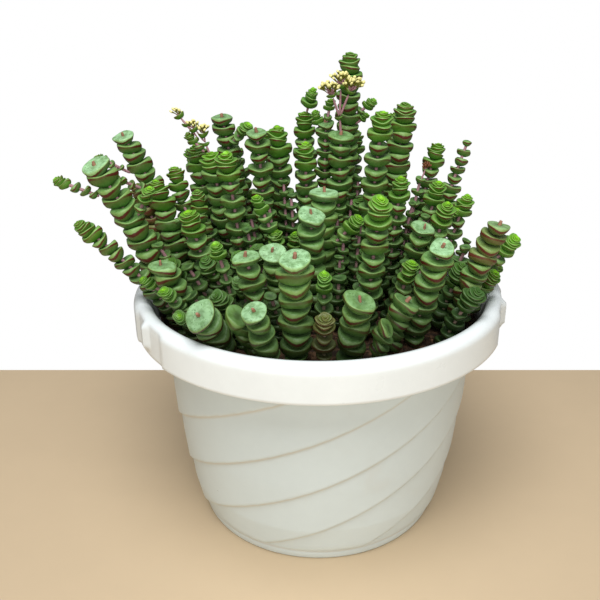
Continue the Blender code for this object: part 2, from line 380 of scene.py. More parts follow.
@dataclass(frozen=True)
class PotPlastic(Finish):
    """Off-white injection moulded plastic: glossier at the rim, with painted light making the rim
    whiter than the body, and rougher lower down where it is handled.
    """

    # painted light: the rim's white is lighter than the body's, standing for the lit rim
    rim_lit_white: tuple = srgb(240, 247, 248)
    body_white: tuple = srgb(214, 226, 227)
    # colour of the painted shadow in the creases; the real stains below share it
    crease: tuple = srgb(196, 180, 156)
    soil_mark: tuple = srgb(70, 52, 38)
    rim_edge: tuple = (0.0855, 0.0865)

    def dress(self, g: MaterialGraph) -> None:
        """Adds the painted shadow in the creases and drain holes, the painted light on the rim, and
        the stains, specks, grime and scuffs.

        Args:
            g: the material's graph.
        """
        on_rim = g.fade(g.height(), *self.rim_edge)
        # painted light: the rim is painted whiter than the body
        colour = g.mottled(g.mix(on_rim, self.body_white, self.rim_lit_white), 35.0, 0.035)["Color"]
        # painted shadow: a beige line under each band step and in the foot groove
        colour = g.mix(g.times(g.attribute("crease"), 0.55), colour, self.crease)
        stain = g.fade(g.spots(22.0, 4.0), 0.60, 0.78)
        colour = g.mix(g.times(stain, 0.16), colour, self.crease)
        specks = g.group(g.effects.dust, Place=g.place, Scale=170.0, Rarity=0.94, Size=0.045)
        colour = g.mix(g.times(specks["Mask"], 0.8), colour, self.soil_mark)
        soiled = g.plus(g.attribute("soiled"), g.times(g.spots(160.0, 4.0), 0.5))
        # grime inside the lip, and the dark drain holes, which are partly painted shade
        grime_and_hole_shade = g.fade(soiled, 0.75, 1.15)
        g.feed(g.shader["Base Color"], g.mix(g.times(grime_and_hole_shade, 0.85), colour, self.soil_mark))
        rough = g.plus(g.times(g.spots(90.0, 5.0, 0.65), 0.16), self.roughness - 0.08)
        rough = g.plus(rough, g.times(g.minus(1.0, on_rim), 0.10))
        g.feed(g.shader["Roughness"], g.plus(rough, g.times(grime_and_hole_shade, 0.4), clamp=True))
        g.bump(g.spots(900.0), 0.05, 0.25)


@dataclass(frozen=True)
class SoilFinish(Finish):
    """Dark peat with lighter crumbs, dry on the raised bits and damp in the hollows."""

    damp: tuple = srgb(34, 25, 19)
    dry: tuple = srgb(112, 84, 60)

    def dress(self, g: MaterialGraph) -> None:
        """Adds the dry and damp shades and the grain.

        Args:
            g: the material's graph.
        """
        coarse = g.spots(260.0, 5.0, 0.65)
        shade = g.plus(g.fade(coarse, 0.38, 0.72), g.attribute("crumb"))
        colour = g.mix(g.times(shade, 0.8, clamp=True), self.damp, self.dry)
        g.feed(g.shader["Base Color"], g.mottled(colour, 400.0, 0.5)["Color"])
        rough = g.plus(g.times(coarse, 0.2), self.roughness - 0.1, clamp=True)
        g.feed(g.shader["Roughness"], rough)
        g.bump(g.spots(800.0, 5.0, 0.7), 0.6, 0.9)


@dataclass(frozen=True)
class LeafFinish(Finish):
    """Waxy succulent skin: grey bloom above, a pale rim, a red-brown margin and a green belly.

    Attributes of the leaf meshes steer it: profile runs from 0 in the middle of the upper face
    over the rim at 0.44 and the margin at 0.60 to 1 under the belly, tip is 1 at a leaf's tip,
    young is 1 in the heart of a rosette, tint, margin and deep vary from shoot to shoot, and
    bloom is high on open top leaves. deep turns shoots in the thick of the plant a darker
    green, partly their own colour and partly painted shade.
    bloom is high on open top leaves.
    """

    skin: tuple = srgb(66, 112, 42)
    warm_skin: tuple = srgb(94, 122, 36)
    belly: tuple = srgb(72, 124, 40)
    wax: tuple = srgb(122, 166, 98)
    open_wax: tuple = srgb(176, 222, 172)
    rim: tuple = srgb(150, 184, 104)
    margin: tuple = srgb(84, 32, 17)
    young: tuple = srgb(86, 152, 16)
    heart: tuple = srgb(132, 200, 24)
    shade: tuple = srgb(14, 28, 10)
    ruddy: tuple = srgb(122, 74, 52)
    deep_green_and_shade: tuple = srgb(34, 70, 22)
    shade_heights: tuple = (0.126, 0.092)

    def dress(self, g: MaterialGraph) -> None:
        """Adds the skin with its bloom, then the margin, then the shade between the leaves.

        Args:
            g: the material's graph.
        """
        profile, young = g.attribute("profile"), g.attribute("young")
        margin, open_top = g.attribute("margin"), g.attribute("bloom")
        wavy = g.plus(profile, g.times(g.minus(g.spots(330.0), 0.5), 0.05))
        colour, fine, pore = self._skin(g, wavy, young, open_top)
        fresh = g.mix(g.times(young, young), self.young, self.heart)
        fresh = g.mix(g.fade(profile, 0.55, 0.9), fresh, self.young)
        colour = g.mix(g.math("POWER", young, 0.75, clamp=True), colour, fresh)
        colour = self._margin(g, colour, wavy, margin)
        # painted shade: darker near the stem on the upper face, except on open tops and young
        # leaves, and under the belly
        inner = g.times(g.fade(profile, 0.26, 0.04), g.minus(1.0, open_top))
        inner = g.times(inner, g.minus(1.0, young, clamp=True))
        # partly painted shade: shoots deep in the plant, mostly the undergrowth, go towards a darker
        # green
        colour = g.mix(g.times(g.attribute("deep"), 0.75), colour, self.deep_green_and_shade)
        under = g.plus(inner, g.fade(profile, 0.80, 0.97), clamp=True)
        colour = g.mix(g.times(under, 0.5), colour, self.shade)
        # painted shade: leaves darker the lower they stand, towards the soil
        low = g.times(g.fade(g.height(), *self.shade_heights), 0.68)
        g.feed(g.shader["Base Color"], g.mix(low, colour, self.shade))
        rough = g.plus(g.times(fine, 0.22), self.roughness - 0.11)
        g.feed(g.shader["Roughness"], g.minus(rough, g.times(young, 0.08)))
        relief = g.minus(g.times(fine, 0.6), pore)
        g.bump(g.plus(relief, g.times(g.spots(280.0, 2.0), 4.0)), 0.16, 0.5)

    def _skin(self, g: MaterialGraph, wavy, young, open_top) -> tuple:
        """The mottled skin under its bloom.

        Args:
            g: the material's graph.
            wavy: the profile with a slightly wandering line.
            young: how young the leaf is.
            open_top: how open it is.

        Returns:
            The colour, the fine mottling and the pores.
        """
        upper = g.fade(wavy, 0.60, 0.40)
        skin = g.mix(g.times(g.attribute("tint"), 0.9), self.skin, self.warm_skin)
        skin = g.mix(g.fade(wavy, 0.58, 0.85), skin, self.belly)
        mottled = g.mottled(skin, 120.0, 0.16)
        mature = g.minus(1.0, young)
        amount = g.plus(g.times(upper, 0.50), 0.26)
        amount = g.plus(amount, g.times(open_top, upper))
        bloom = g.group(g.effects.bloom, Skin=mottled["Color"], Place=g.place,
                        Wax=g.mix(open_top, self.wax, self.open_wax),
                        Amount=g.times(amount, mature, clamp=True),
                        Pores=g.times(upper, g.times(mature, 0.8)))
        return bloom["Color"], mottled["Fine"], bloom["Pore"]

    def _margin(self, g: MaterialGraph, colour, wavy, margin) -> bpy.types.NodeSocket:
        """The pale rim, the broken red line under it and the flush below that.

        Args:
            g: the material's graph.
            colour: the skin's colour.
            wavy: the profile with a slightly wandering line.
            margin: how red the leaf's edge is.

        Returns:
            The skin's colour with its edge.
        """
        rim = g.times(g.fade(wavy, 0.42, 0.49), g.fade(wavy, 0.58, 0.545))
        colour = g.mix(g.times(rim, 0.5), colour, self.rim)
        edge = g.times(g.fade(wavy, 0.555, 0.585), g.fade(wavy, 0.672, 0.635))
        broken = g.plus(g.times(g.spots(520.0), 1.1), 0.35)
        broken = g.times(broken, g.plus(g.attribute("tip"), 0.45))
        edge = g.times(edge, g.times(broken, margin), clamp=True)
        colour = g.mix(edge, colour, self.margin)
        flush = g.times(g.fade(wavy, 0.60, 0.67), g.fade(wavy, 0.86, 0.70))
        colour = g.mix(g.times(flush, g.times(margin, 0.22)), colour, self.margin)
        return g.mix(g.times(g.fade(margin, 1.3, 2.2), 0.5), colour, self.ruddy)


@dataclass(frozen=True)
class StemFinish(Finish):
    """Thin stems: pinkish purple where young, greyer and browner towards the soil."""

    pink: tuple = srgb(164, 122, 128)
    grey: tuple = srgb(128, 118, 92)
    scar: tuple = srgb(98, 70, 54)
    cut: tuple = srgb(158, 112, 86)
    ageing_heights: tuple = (0.135, 0.105)

    def dress(self, g: MaterialGraph) -> None:
        """Adds the ageing, the cut ends and the scars.

        Args:
            g: the material's graph.
        """
        old = g.fade(g.plus(g.height(), g.times(g.spots(60.0), 0.03)), *self.ageing_heights)
        colour = g.mix(old, self.pink, self.grey)
        colour = g.mix(g.attribute("cut_end"), colour, self.cut)
        scarred = g.fade(g.spots(700.0), 0.60, 0.72)
        colour = g.mix(g.times(scarred, 0.5), g.mottled(colour, 500.0, 0.3)["Color"], self.scar)
        g.feed(g.shader["Base Color"], colour)
        g.feed(g.shader["Roughness"], g.plus(g.times(scarred, 0.2), self.roughness))
        g.bump(g.spots(1600.0), 0.15, 0.6)


@dataclass(frozen=True)
class BudFinish(Finish):
    """Flower buds and dry heads: cream petals over a darker calyx, by the petal attribute."""

    calyx: tuple = srgb(112, 112, 30)
    petal: tuple = srgb(244, 236, 160)
    husk: tuple = srgb(122, 76, 48)

    def dress(self, g: MaterialGraph) -> None:
        """Adds the petals, and the dry brown of an old head.

        Args:
            g: the material's graph.
        """
        open_part = g.plus(g.attribute("petal"), g.times(g.spots(900.0), 0.3))
        open_part = g.fade(open_part, 0.50, 0.78)
        colour = g.mix(open_part, self.calyx, self.petal)
        mottled = g.mottled(g.mix(g.attribute("dryness"), colour, self.husk), 600.0, 0.3)
        g.feed(g.shader["Base Color"], mottled["Color"])
        g.feed(g.shader["Roughness"], g.plus(g.times(open_part, -0.1), self.roughness))
        g.bump(mottled["Fine"], 0.1, 0.5)


@dataclass(frozen=True)
class StageFinish(Finish):
    """A plain pale surface to stand the plant on."""

    tone: tuple = srgb(212, 190, 158)

    def dress(self, g: MaterialGraph) -> None:
        """Adds a faint mottling."""
        g.feed(g.shader["Base Color"], g.mottled(self.tone, 9.0, 0.03)["Color"])


@dataclass
class Finishes:
    """Every material of the potted crassula, made once."""

    effects: SharedEffects = field(default_factory=SharedEffects)

    def __post_init__(self) -> None:
        """Builds the materials."""
        self.plastic = PotPlastic("pot_plastic", roughness=0.30).build(self.effects)
        self.soil = SoilFinish("potting_soil", roughness=0.92, specular=0.25).build(self.effects)
        self.leaf = LeafFinish("leaf_skin", roughness=0.46, specular=0.42).build(self.effects)
        self.stem = StemFinish("stem_skin", roughness=0.55, specular=0.35).build(self.effects)
        self.bud = BudFinish("flower_buds", roughness=0.6, specular=0.3).build(self.effects)


# ---------------------------------------------------------------- mesh helpers


def linked(name: str, data: bpy.types.ID) -> bpy.types.Object:
    """Links a new object at the origin.

    Args:
        name: the object's name.
        data: its mesh, light or camera.

    Returns:
        The new object.
    """
    made = bpy.data.objects.new(name, data)
    bpy.context.scene.collection.objects.link(made)
    return made


def mesh_object(name: str, points, edges=(), faces=()) -> bpy.types.Object:
    """Links a new, smooth shaded mesh object at the origin.

    Args:
        name: the object's name.
        points: vertex places in metres.
        edges: vertex pairs.
        faces: vertex loops.

    Returns:
        The new object.
    """
    mesh = bpy.data.meshes.new(name)
    mesh.from_pydata([tuple(p) for p in points], list(edges), list(faces), shade_flat=False)
    mesh.update()
    return linked(name, mesh)


def set_attribute(mesh: bpy.types.Mesh, name: str, values, kind: str = "FLOAT") -> None:
    """Stores one value for each vertex.

    Args:
        mesh: the mesh.
        name: the attribute's name.
        values: a value for each vertex, in order.
        kind: whether they are floats, integers or vectors.
    """
    layer = mesh.attributes.new(name, kind, "POINT")
    if kind == "FLOAT_VECTOR":
        layer.data.foreach_set("vector", np.asarray(values, np.float32).ravel())
    else:
        layer.data.foreach_set("value", list(values))


def finish_piece(piece: bpy.types.Object, nodes=()) -> None:
    """Ties a finished piece to the pot's body and hides the solids that it stands for.

    Args:
        piece: the finished piece.
        nodes: the solids that it replaces.
    """
    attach(piece, "root")
    if nodes:
        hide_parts(*nodes)
    LOG.info("%s: %d faces", piece.name, len(piece.data.polygons))


def grown(source: bpy.types.Object, name: str, tree: bpy.types.NodeTree, ids: dict[str, str],
          values: dict) -> bpy.types.Object:
    """Runs a Geometry Nodes tree on an object and keeps its result as a plain mesh.

    Args:
        source: the object that the tree starts from, which is then removed.
        name: the new object's name.
        tree: the tree.
        ids: the identifiers of its inputs by name.
        values: the values of those inputs by name.

    Returns:
        The new object.
    """
    modifier = source.modifiers.new("growth", "NODES")
    modifier.node_group = tree
    for key, value in values.items():
        modifier[ids[key]] = value
    graph = bpy.context.evaluated_depsgraph_get()
    mesh = bpy.data.meshes.new_from_object(source.evaluated_get(graph), depsgraph=graph)
    mesh.name = name
    bpy.data.objects.remove(source)
    return linked(name, mesh)


def lathe(rings: list[tuple[float, float]], steps: int) -> tuple[list, list]:
    """Points and faces turned round Z from (radius, height) rings, in metres.

    Args:
        rings: (radius, height) in millimetres, in order; radius 0 makes a pole.
        steps: how many points a ring has.

    Returns:
        The points and the faces.
    """
    points, faces, starts = [], [], []
    for radius, height in rings:
        starts.append((len(points), radius == 0.0))
        if radius == 0.0:
            points.append((0.0, 0.0, height * MM))
            continue
        for i in range(steps):
            angle = math.tau * i / steps
            points.append((radius * MM * math.cos(angle), radius * MM * math.sin(angle),
                           height * MM))
    for (a, a_pole), (b, b_pole) in zip(starts, starts[1:]):
        for i in range(steps):
            j = (i + 1) % steps
            if a_pole:
                faces.append((a, b + j, b + i))
            elif b_pole:
                faces.append((a + i, a + j, b))
            else:
                faces.append((a + i, a + j, b + j, b + i))
    return points, faces


# ---------------------------------------------------------------- pot


@dataclass
class Pot:
    """The moulded pot: a rolled rim with hanger ribs over a body wrapped in rising bands."""

    finish: bpy.types.Material
    steps: int = 288
    bands: int = 8
    band_rise: float = 0.5
    band_start: float = 8.2
    band_relief: float = 1.25
    edge_softness: float = 0.055
    rim_height: float = 15.0
    rim_rounding: float = 3.8
    foot_groove: float = 4.6
    arch: float = 1.4
    body_rings: int = 118
    drains: int = 6
    drain_band: tuple = (0.02, 0.04)
    drain_half_angle: float = 0.11
    drain_margins: tuple = (4.0, 0.2)
    drain_depth: float = 2.0
    rib_angles: tuple = (-59.0, 77.0, 189.0)
    rib_half_width: float = 2.0
    rib_stand: float = 0.9
    panel_half_angle: float = 10.0
    panel_depth: float = 0.9
    body: tuple = ((0.0, 51.2), (0.7, 52.0), (4.0, 52.9), (8.0, 54.3), (18.0, 57.0),
                   (40.0, 60.4), (62.0, 62.9), (83.5, 64.7), (88.0, 66.5))

    def outer(self, height: float) -> float:
        """The body's mean radius at a height, all in millimetres."""
        heights, radii = zip(*self.body)
        return float(np.interp(height, heights, radii))

    def rings(self) -> list[tuple[float, float, str]]:
        """(radius, height, zone) of every ring, from the underside out and up, then inside."""
        rings = [(radius, self.arch, "under") for radius in (0.0, 20.0, 40.0, 48.2)]
        rings += [(49.0, 1.2, "under"), (49.5, 0.4, "under"), (50.0, 0.05, "under"),
                  (50.9, 0.0, "under"), (51.5, 0.2, "under")]
        low, high = 0.5, RIM_TOP - self.rim_height
        for i in range(self.body_rings):
            height = low + (high + 4.5 - low) * i / (self.body_rings - 1)
            rings.append((self.outer(height), height, "body"))
        inner = RIM_RADIUS - 2.4
        rings += [(68.4, high + 6.0, "under_rim"), (70.6, high + 7.2, "under_rim"),
                  (inner - 0.8, high + 7.0, "under_rim"), (inner, high + 6.2, "under_rim"),
                  (inner, high + 0.5, "under_rim"), (inner + 0.5, high, "under_rim"),
                  (RIM_RADIUS - 0.7, high, "rim")]
        for height in np.linspace(high + 0.5, RIM_TOP - self.rim_rounding, 12):
            rings.append((RIM_RADIUS, float(height), "rim"))
        centre = (RIM_RADIUS - self.rim_rounding, RIM_TOP - self.rim_rounding)
        for i in range(1, 11):
            angle = math.radians(9.0 * i)
            rings.append((centre[0] + self.rim_rounding * math.cos(angle),
                          centre[1] + self.rim_rounding * math.sin(angle), "rim"))
        rings += [(71.3, RIM_TOP - 0.15, "lip"), (70.2, RIM_TOP - 0.75, "lip"),
                  (69.3, RIM_TOP - 1.8, "lip"), (68.7, RIM_TOP - 3.2, "lip"),
                  (68.2, RIM_TOP - 5.0, "lip"), (67.3, RIM_TOP - 8.0, "lip"),
                  (66.3, RIM_TOP - 11.5, "lip"), (65.7, SOIL_TOP - 1.0, "lip"),
                  (64.0, SOIL_TOP - 4.0, "lip"), (0.0, SOIL_TOP - 4.0, "lip")]
        return rings

    def band_shape(self, angle: float, height: float) -> tuple[float, float]:
        """(how far the band stands out, how deep in the crease) at a place on the body.

        Args:
            angle: degrees round the pot from the front.
            height: millimetres above the floor.

        Returns:
            The stand-out in millimetres, and the crease from 0 to 1, which sets the painted shadow
            there.
        """
        phase = ((angle - self.band_start) * self.band_rise - height) * self.bands
        phase = -phase / (360.0 * self.band_rise)
        turn = phase - math.floor(phase)
        soft = self.edge_softness
        stand = 1.0 - turn
        if turn > 1.0 - soft:
            stand += smooth((turn - 1.0 + soft) / soft)
        crease = max(0.0, 1.0 - abs(turn - (1.0 - soft * 0.55)) / (soft * 0.9))
        fade = held((height - self.foot_groove) / 2.0)
        return (stand - 0.5) * self.band_relief * fade, crease * fade

    def hanger(self, angle: float, height: float) -> float:
        """How far the rim stands out or in at the hanger panels and their ribs.

        Args:
            angle: degrees round the pot from the front.
            height: millimetres above the floor.

        Returns:
            The stand-out in millimetres.
        """
        offset = 0.0
        for centre in self.rib_angles:
            away = abs((angle - centre + 180.0) % 360.0 - 180.0)
            panel = smooth((self.panel_half_angle - away) / 1.4)
            top = held((RIM_TOP - 0.6 - height) / 2.2)
            rib = smooth((self.rib_half_width - math.radians(away) * RIM_RADIUS) / 0.7)
            low = held((height - (RIM_TOP - self.rim_height + 3.0)) / 0.8)
            offset += -panel * self.panel_depth * top
            offset += rib * low * top * (self.panel_depth + self.rib_stand)
        return offset

    def build(self) -> None:
        """Makes the pot's one closed shell, which stands for the pot's solid."""
        rings = self.rings()
        points, faces = lathe([(r, z) for r, z, _ in rings], self.steps)
        crease, soiled = [], []
        index = 0
        for radius, height, zone in rings:
            for _ in range(1 if radius == 0.0 else self.steps):
                x, y, z = points[index]
                angle = math.degrees(math.atan2(x, -y))
                stand, mark = 0.0, 0.0
                if zone == "body":
                    stand, mark = self.band_shape(angle, height)
                    ring = max(0.0, 1.0 - abs(height - self.foot_groove) / 0.8)
                    stand -= 0.45 * ring
                    mark = max(mark, 0.8 * ring)
                elif zone == "rim":
                    stand = self.hanger(angle, height)
                if stand and radius:
                    grow = 1.0 + stand / radius
                    points[index] = (x * grow, y * grow, z)
                # mark says where the painted shadow goes: under each band step and in the foot
                # groove
                crease.append(mark)
                low = max(0.0, (RIM_TOP - 4.0 - height) / 9.0)
                soiled.append(low if zone == "lip" else 0.0)
                index += 1
        pot = mesh_object("pot_shell", points, faces=faces)
        set_attribute(pot.data, "crease", crease)
        set_attribute(pot.data, "soiled", soiled)
        self._drill_drains(pot)
        pot.data.materials.append(self.finish)
        finish_piece(pot, ["pot"])

    def _drill_drains(self, pot: bpy.types.Object) -> None:
        """Sinks blind drain holes into the underside and paints their floors the soil's dark colour,
        partly for the soil seen through them and partly as painted shade inside them.

        Args:
            pot: the pot's shell.
        """
        bm = bmesh.new()
        bm.from_mesh(pot.data)
        soiled = bm.verts.layers.float["soiled"]
        bm.faces.ensure_lookup_table()
        near, far = self.drain_band
        ring = [f for f in bm.faces if abs(f.calc_center_median().z - self.arch * MM) < 1e-5
                and near < f.calc_center_median().xy.length < far]
        for number in range(self.drains):
            angle = math.tau * (number + 0.5) / self.drains
            wanted = [f for f in ring
                      if abs(math.remainder(math.atan2(*f.calc_center_median().yx) - angle,
                                            math.tau)) < self.drain_half_angle]
            for margin in self.drain_margins:
                bmesh.ops.inset_region(bm, faces=wanted, thickness=margin * MM, depth=0.0)
            for vert in {v for f in wanted for v in f.verts}:
                # painted shade: the hole floors go dark, partly soil and partly the shade in the
                # hole
                vert[soiled] = 2.0
                vert.co.z += self.drain_depth * MM
        bmesh.ops.recalc_face_normals(bm, faces=bm.faces)
        bm.to_mesh(pot.data)
        bm.free()


# ---------------------------------------------------------------- soil


@dataclass
class Soil:
    """The potting soil: an uneven bed with loose crumbs on it."""

    finish: bpy.types.Material
    radius: float = 66.0
    rings: int = 34
    steps: int = 120
    heave: float = 1.5 * 0.55
    lumps: tuple = ((0.3, 55.0, 1.4), (0.7, 190.0, 0.9), (1.9, 520.0, 0.5))
    crumbs: float = 52000.0
    crumb_size: tuple = (0.7, 2.1)
    seed: int = 5

    def build(self) -> None:
        """Makes the bed, which stands for the soil's solid, and its crumbs."""
        rings = [(0.0, SOIL_TOP)]
        rings += [(self.radius * (i + 1) / self.rings, SOIL_TOP) for i in range(self.rings)]
        rings += [(self.radius - 0.6, SOIL_TOP - 3.0), (0.0, SOIL_TOP - 3.2)]
        points, faces = lathe(rings, self.steps)
        faces = [tuple(reversed(f)) for f in faces]
        shaped = []
        for x, y, z in points:
            if z > (SOIL_TOP - 1.0) * MM:
                z += self.heave * MM * sum(noise.noise(Vector((x, y, level)) * scale) * size
                                           for level, scale, size in self.lumps)
            shaped.append((x, y, z))
        bed = mesh_object("soil_bed", shaped, faces=faces)
        bed.data.materials.append(self.finish)
        crumbs = self._crumbs(bed)
        finish_piece(bed, ["soil"])
        finish_piece(crumbs)

    def _crumb(self) -> bpy.types.Object:
        """One irregular crumb of peat, about a unit across."""
        bm = bmesh.new()
        bmesh.ops.create_icosphere(bm, subdivisions=1, radius=0.5)
        chance = random.Random(self.seed)
        for vert in bm.verts:
            vert.co *= 0.75 + 0.5 * chance.random()
            vert.co.z *= 0.7
        mesh = bpy.data.meshes.new("crumb")
        bm.to_mesh(mesh)
        bm.free()
        set_attribute(mesh, "crumb", [0.35] * len(mesh.vertices))
        return linked("crumb", mesh)

    def _crumbs(self, bed: bpy.types.Object) -> bpy.types.Object:
        """Scatters crumbs over the top of the bed with Geometry Nodes.

        Args:
            bed: the bed of soil.

        Returns:
            The crumbs as a plain mesh.
        """
        g = GroupGraph("Scatter crumbs", "Geometry", (
            ("Geometry", "Geometry", None), ("Crumb", "Object", None),
            ("Density", "Float", 1000.0), ("Smallest", "Float", 0.001),
            ("Largest", "Float", 0.002), ("Seed", "Int", 0), ("Finish", "Material", None),
        ), (("Geometry", "Geometry"),))
        seed = g.given["Seed"]
        up = g.add("ShaderNodeSeparateXYZ", {0: g.add("GeometryNodeInputNormal").outputs[0]})
        facing_up = g.add("FunctionNodeCompare", {0: up.outputs["Z"], 1: 0.3},
                          data_type="FLOAT", operation="GREATER_THAN")
        scatter = g.add("GeometryNodeDistributePointsOnFaces", {
            "Mesh": g.given["Geometry"], "Selection": facing_up.outputs[0],
            "Density": g.given["Density"], "Seed": seed,
        })
        turn = g.add("FunctionNodeRandomValue", {
            0: (0.0, 0.0, 0.0), 1: (6.3, 6.3, 6.3), "Seed": seed,
        }, data_type="FLOAT_VECTOR")
        size = g.add("FunctionNodeRandomValue", {
            2: g.given["Smallest"], 3: g.given["Largest"], "Seed": seed,
        }, data_type="FLOAT")
        info = g.add("GeometryNodeObjectInfo", {"Object": g.given["Crumb"]})
        rotation = g.add("FunctionNodeEulerToRotation", {0: turn.outputs[0]})
        placed = g.add("GeometryNodeInstanceOnPoints", {
            "Points": scatter.outputs["Points"], "Instance": info.outputs["Geometry"],
            "Rotation": rotation.outputs[0], "Scale": size.outputs[1],
        })
        real = g.add("GeometryNodeRealizeInstances", {0: placed.outputs[0]})
        dressed = g.add("GeometryNodeSetMaterial", {
            "Geometry": real.outputs[0], "Material": g.given["Finish"],
        })
        crumb = self._crumb()
        crumbs = grown(linked("crumb_source", bed.data.copy()), "soil_crumbs",
                       g.close(dressed.outputs[0]), g.ids, {
            "Crumb": crumb, "Density": self.crumbs, "Smallest": self.crumb_size[0] * MM,
            "Largest": self.crumb_size[1] * MM, "Seed": self.seed, "Finish": self.finish,
        })
        bpy.data.objects.remove(crumb)
        return crumbs


# ---------------------------------------------------------------- leaves


class Top(Enum):
    """How a shoot ends."""

    CUT = "cut"
    ROSETTE = "rosette"
    UMBEL = "umbel"
    BUDS = "buds"
    PLAIN = "plain"
    HUSK = "husk"


class Form(Enum):
    """Which leaf shape stands at a place on a stem."""

    NONE = -1
    BOAT = 0
    YOUNG = 1
    OPEN = 2
    STUB = 3
    PLUMP = 4
    BUD = 5


@dataclass(frozen=True)
class LeafPair:
    """Two opposite leaves fused round the stem, one unit from the stem to each tip.

    The cage has seven rings: round the stem, along the upper face, along its raised rim, along
    the sharp red margin, down the steep front, round the belly and at the stem again. The
    margin drops at each tip like a beak, and the belly is shallower where the leaves join.
    """

    lift: float
    sag: float
    hollow: float
    shoulder: float
    beak: float
    depth: float
    front: float = 0.92
    drop: float = 0.26
    rim: float = 0.06
    point: float = 0.08
    waist: float = 0.88
    notch: float = 0.14
    power: float = 1.7
    sharp: float = 0.55
    steps: int = 12

    def outline(self, angle: float) -> float:
        """The outline's reach in a direction from the stem.

        Args:
            angle: the direction in radians; the tips lie along X.

        Returns:
            The reach, as a share of the leaf's length.
        """
        along, across = abs(math.cos(angle)), abs(math.sin(angle))
        reach = (along**self.power + (across / self.waist) ** self.power) ** (-1.0 / self.power)
        return reach * (1.0 + self.point * along**10) * (1.0 - self.notch * across**14)

    def build(self, name: str) -> bpy.types.Object:
        """Makes the cage with its profile attribute and its sharp margin.

        Args:
            name: the cage's name.

        Returns:
            The cage.
        """
        points, profile = [(0.0, 0.0, self.hollow)], [0.0]
        for number in range(7):
            for i in range(self.steps):
                angle = math.tau * i / self.steps
                along = abs(math.cos(angle))
                reach = self.outline(angle)
                top = self.shoulder + self.lift * along**2 - self.sag * (1.0 - along**2)
                edge = top - self.rim
                edge -= self.beak * max(0.0, 1.0 - math.acos(min(1.0, along)) / 0.85)
                low = self.depth * (1.0 - 0.22 * (2.0 * along**2 - 1.0) ** 2)
                share, height, place = (
                    (0.24, self.hollow, 0.10),
                    (0.72, self.hollow * 0.3 + top * 0.62, 0.30),
                    (0.95, top, 0.44),
                    (1.0, edge, 0.60),
                    (self.front, edge - self.drop, 0.74),
                    (0.62, -low * 0.88, 0.86),
                    (0.24, -self.depth, 0.95),
                )[number]
                points.append((reach * share * math.cos(angle), reach * share * math.sin(angle),
                               height))
                profile.append(place)
        points.append((0.0, 0.0, -self.depth * 1.02))
        profile.append(1.0)
        last = len(points) - 1
        faces = []
        for i in range(self.steps):
            j = (i + 1) % self.steps
            faces.append((0, 1 + i, 1 + j))
            for ring in range(6):
                a, b = 1 + ring * self.steps, 1 + (ring + 1) * self.steps
                faces.append((a + i, b + i, b + j, a + j))
            bottom = 1 + 6 * self.steps
            faces.append((bottom + j, bottom + i, last))
        cage = mesh_object(name, points, faces=faces)
        set_attribute(cage.data, "profile", profile)
        set_attribute(cage.data, "tip", [
            (abs(x) / max(1e-6, math.hypot(x, y))) ** 3 for x, y, _ in points])
        margin = range(1 + 3 * self.steps, 1 + 4 * self.steps)
        crease = cage.data.attributes.new("crease_edge", "FLOAT", "EDGE")
        crease.data.foreach_set("value", [
            self.sharp if all(v in margin for v in edge.vertices) else 0.0
            for edge in cage.data.edges])
        return cage


BOAT_PAIR = LeafPair(lift=0.20, sag=0.05, hollow=0.07, shoulder=0.19, beak=0.46, depth=0.68,
                     front=0.94, drop=0.30, rim=0.08, waist=0.94, power=1.6)
PLUMP_PAIR = LeafPair(lift=0.08, sag=0.04, hollow=0.09, shoulder=0.16, beak=0.38, depth=0.70,
                      front=0.95, drop=0.36, rim=0.08, waist=0.94, power=1.55)
OPEN_PAIR = LeafPair(lift=0.03, sag=0.02, hollow=0.08, shoulder=0.10, beak=0.32, depth=0.60,
                     rim=0.05, waist=0.93, notch=0.12, power=1.55)
YOUNG_PAIR = LeafPair(lift=0.26, sag=0.02, hollow=0.06, shoulder=0.12, beak=0.12, depth=0.50,
                      front=0.92, drop=0.24, rim=0.05, point=0.06, waist=0.90, power=1.6)


class StemPath:
    """The middle line of a stem, from its foot to its tip, in millimetres."""

    START_LEAN = 0.64

    def __init__(self, points: list[Vector]) -> None:
        """Measures the line.

        Args:
            points: the line's points in order.
        """
        self.points = points
        runs = [(b - a).length for a, b in zip(points, points[1:])]
        self.length = sum(runs)
        self.marks = np.concatenate([[0.0], np.cumsum(runs)]) / self.length

    @classmethod
    def leaning(cls, foot: Vector, tip: Vector, steps: int = 10) -> "StemPath":
        """A line that leaves the soil steeply and leans out further up.

        Args:
            foot: the foot's place.
            tip: the tip's place.
            steps: how many straight runs it has.

        Returns:
            The path.
        """
        points = []
        for number in range(steps + 1):
            share = number / steps
            sway = cls.START_LEAN * share * (1.0 - share) + share**2
            points.append(foot + (tip - foot) * Vector((sway, sway, share)))
        return cls(points)

    def at(self, share: float) -> Vector:
        """A point on the path.

        Args:
            share: the share of the length; past 1 the path goes on in a straight line.

        Returns:
            The point.
        """
        if share > 1.0:
            return self.points[-1] + self.heading(1.0) * (share - 1.0) * self.length
        return Vector([float(np.interp(share, self.marks, [p[axis] for p in self.points]))
                       for axis in range(3)])

    def heading(self, share: float) -> Vector:
        """The direction at a share of the length."""
        low, high = max(0.0, share - 0.08), min(1.0, share + 0.08)
        return (self.at(high) - self.at(low)).normalized()


